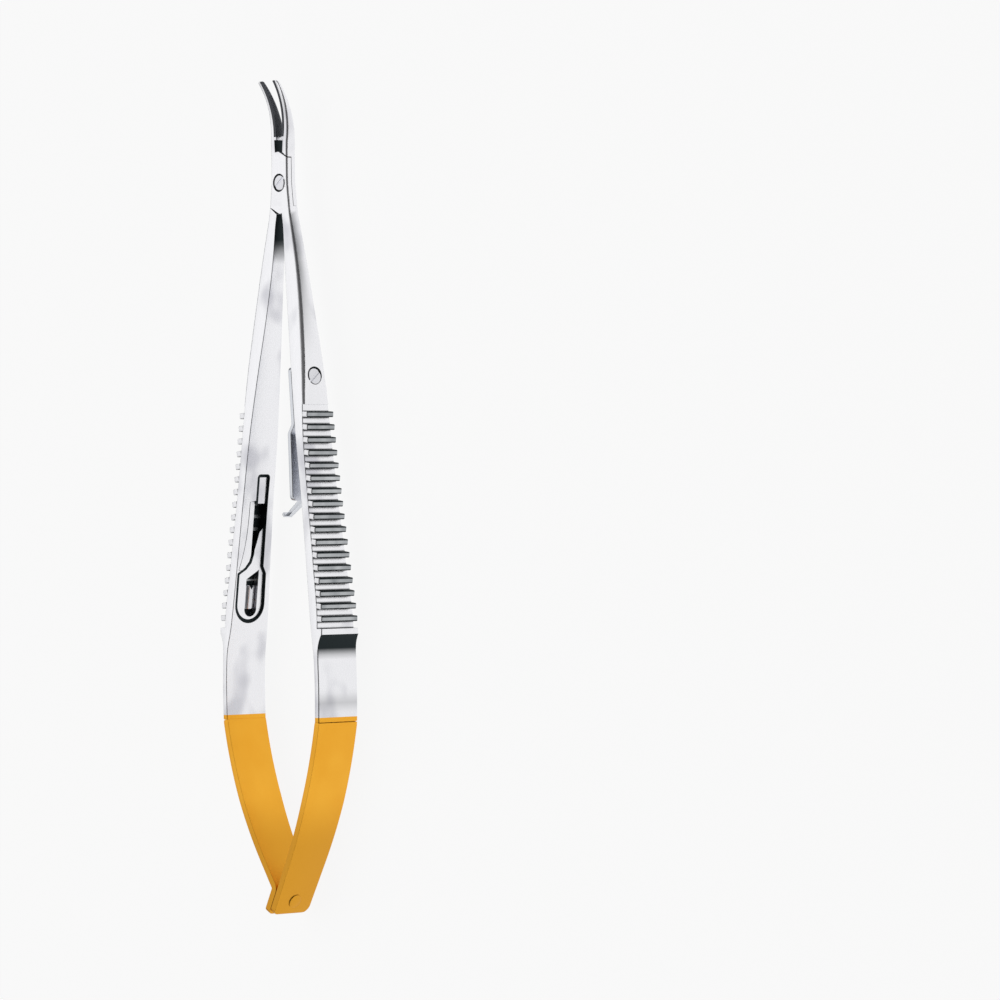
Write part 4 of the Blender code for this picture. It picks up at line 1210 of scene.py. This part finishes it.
def set_camera():
    """Long lens at the drawing's angle: from the right at 40 degrees above the table, with the tips up."""
    view = math.radians(50)
    right, up = Vector((math.cos(view), 0, -math.sin(view))), Vector((0, 1, 0))
    back = right.cross(up)
    off_axis = Vector((-35.73, 0.77, -CAMERA_DISTANCE))
    aside = math.asin(-off_axis.x / CAMERA_DISTANCE)
    right, back = right * math.cos(aside) + back * math.sin(aside), back * math.cos(aside) - right * math.sin(aside)
    lean = math.radians(-0.7)
    right, up = right * math.cos(lean) + up * math.sin(lean), up * math.cos(lean) - right * math.sin(lean)
    centre = PIVOT - Vector((0.0, 52.48, 0.0))
    spot = centre - (right * off_axis.x + up * off_axis.y + back * off_axis.z)
    camera = added("camera", bpy.data.cameras.new("camera"))
    camera.data.lens, camera.data.sensor_width = 200, 36
    camera.data.clip_end = 50
    camera.matrix_world = Matrix.Translation(spot * MM) @ Matrix((right, up, back)).transposed().to_4x4()
    bpy.context.scene.camera = camera


def set_floor():
    """Plain white table. Seen directly or in the metal it is nearly white, and it keeps a faint shadow."""
    bm = bmesh.new()
    bmesh.ops.create_grid(bm, x_segments=1, y_segments=1, size=6.0)
    mesh = bpy.data.meshes.new("table_top")
    bm.to_mesh(mesh)
    bm.free()
    floor = added("table_top", mesh)
    made = bpy.data.materials.new("white_table")
    tree = empty_tree(made)
    paint = node(tree, "ShaderNodeBsdfDiffuse", {"Color": linear("#F2F2F2")})
    glow = node(tree, "ShaderNodeEmission", {"Color": linear("#FFFFFF"), "Strength": 1.0})
    ray = node(tree, "ShaderNodeLightPath").outputs
    seen = math_node(tree, "MULTIPLY", ray["Is Camera Ray"], SEEN_WHITE)
    mirrored = math_node(tree, "MULTIPLY", ray["Is Glossy Ray"], MIRRORED_WHITE)
    share = math_node(tree, "ADD", seen, mirrored)
    mixed = node(tree, "ShaderNodeMixShader", {0: share, 1: paint.outputs[0], 2: glow.outputs[0]})
    node(tree, "ShaderNodeOutputMaterial", {"Surface": mixed.outputs[0]})
    mesh.materials.append(made)


def set_light():
    """Plain studio: a bright wall beyond the instrument, darker at the horizon, overhead and behind the camera."""
    world = bpy.data.worlds.new("studio")
    bpy.context.scene.world = world
    tree = empty_tree(world)
    ray = node(tree, "ShaderNodeLightPath").outputs
    direct = math_node(tree, "MAXIMUM", ray["Is Camera Ray"], ray["Is Transmission Ray"])
    way = node(tree, "ShaderNodeTexCoord").outputs["Generated"]
    height = node(tree, "ShaderNodeSeparateXYZ", {0: way}).outputs["Z"]
    toward = (math.cos(math.radians(40)), 0.0, math.sin(math.radians(40)))
    facing = node(tree, "ShaderNodeVectorMath", {0: way, 1: toward}, operation="DOT_PRODUCT").outputs["Value"]
    rising = eased(tree, height, 0.10, 0.42, 0.12, 0.80)
    zenith = eased(tree, height, 0.80, 1.0, 1.0, 0.45)
    flag = eased(tree, facing, 0.35, 0.88, 1.0, 0.14)
    level = math_node(tree, "MULTIPLY", math_node(tree, "MULTIPLY", rising, zenith), flag)
    studio = node(tree, "ShaderNodeBackground", {"Color": linear("#FFFFFF"), "Strength": level})
    white = node(tree, "ShaderNodeBackground", {"Color": linear("#FFFFFF"), "Strength": 1.0})
    mixed = node(tree, "ShaderNodeMixShader", {0: direct, 1: studio.outputs[0], 2: white.outputs[0]})
    node(tree, "ShaderNodeOutputWorld", {"Surface": mixed.outputs[0]})
    for name, spot, size, power in (
        ("far_softbox", (-0.75, 0.35, 0.85), 0.9, 0.6),
        ("tail_softbox", (-0.20, -0.85, 0.65), 0.6, 0.8),
    ):
        lamp = bpy.data.lights.new(name, "AREA")
        lamp.shape, lamp.size, lamp.energy = "SQUARE", size, power
        obj = added(name, lamp)
        obj.location = spot
        obj.rotation_euler = (-Vector(spot)).to_track_quat("-Z", "Y").to_euler()
    bpy.context.scene.view_settings.view_transform = "Standard"


set_camera()
set_floor()
set_light()

# Forged halves with their screws' seats, the catch and the ribs
top_face = Matrix.Translation(Vector((0.0, 0.0, JAW_BASE_DEPTH / 2))) @ Matrix.Rotation(math.radians(38), 4, "Z")
outer_at_screw = smooth(HANDLE_STATIONS, LOCK_SCREW_DISTANCE)[1] + 0.05
inner_climb = inner_face(LOCK_SCREW_DISTANCE + 1) - inner_face(LOCK_SCREW_DISTANCE - 1)
outward = Vector((2.0, inner_climb, 0.0)).normalized()
screw_seat = Vector((outer_at_screw, -LOCK_SCREW_DISTANCE, 0.0))
lock_frame = frame_at(screw_seat, Vector((0.0, 0.0, 1.0)), Vector((outward.y, -outward.x, 0.0)))


def seat_bore():
    return screw_hole(PIVOT_SCREW, top_face, SEAT_FIT)


def running_bore():
    return screw_hole(PIVOT_SCREW, top_face, RUNNING_FIT)


left = forging(-1, -1, seat_bore, catch_cutters())
right = forging(1, 1, running_bore, [screw_hole(LOCK_SCREW, lock_frame, SEAT_FIT)])
mark_painted_shade(left, -1)
mark_painted_shade(right, 1)
finished(left, "left_forging", SATIN, "left_half", "satin_steel", "left_handle")
finished(right, "right_forging", SATIN, "right_half", "satin_steel", "right_handle")

ribs = rib_tree()
for side, hand in ((-1, "left"), (1, "right")):
    finished(grip_ribs(side, ribs), f"{hand}_grip_ribs", RIB_STEEL, f"{hand}_half", "satin_steel")

# Linings of the jaws: the left half carries the right-hand jaw, and the right half the left-hand one
teeth = tooth_tree()
for side, hand, body in ((-1, "left", "right_half"), (1, "right", "left_half")):
    lining = finished(placed(insert_form(side)), f"{hand}_lining", CARBIDE, body, "tungsten_carbide")
    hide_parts(f"{hand}_jaw_insert")
    finished(insert_teeth(side, teeth), f"{hand}_lining_teeth", CARBIDE, body, "tungsten_carbide")

# Screws, the lock and the catch's fittings
joint_screw = screw(PIVOT_SCREW, JAW_BASE_DEPTH, top_face)
finished(joint_screw, "joint_screw", TURNED, "left_half", "screw_steel", "pivot_screw")
lock_length = outer_at_screw - inner_face(LOCK_SCREW_DISTANCE) + LOCK_LEAF_THICKNESS + SEAT_FIT
leaf_screw = screw(LOCK_SCREW, lock_length, lock_frame, math.radians(38))
finished(leaf_screw, "leaf_screw", TURNED, "right_half", "screw_steel", "lock_screw")
lock = combine(lock_leaf(), [(screw_hole(LOCK_SCREW, lock_frame, RUNNING_FIT), "DIFFERENCE")])
finished(lock, "lock_leaf", SPRING, "lock", "spring_steel", "lock_spring")
finished(saddle(), "catch_bar", TURNED, "left_half", "screw_steel", "catch_saddle")

# Gilt ends, spring leaves and rivet
for side, hand in ((-1, "left"), (1, "right")):
    finished(placed(gilt_end(side)), f"{hand}_gilt_end", GOLD, f"{hand}_half", "gold_plated_spring")
ends = [tuple((PIVOT + Vector((side * inner_face(HANDLE_END), -HANDLE_END, 0.0))) * MM) for side in (-1, 1)]
for piece, name, stands_for in (
    (leaf(left_path()), "left_leaf", "left_spring_leaf"),
    (leaf(right_path()), "right_leaf", "right_spring_leaf"),
    (rivet(), "rivet", "tail_rivet"),
):
    finished(piece, name, GOLD, None, "gold_plated_spring", stands_for)
    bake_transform(piece)
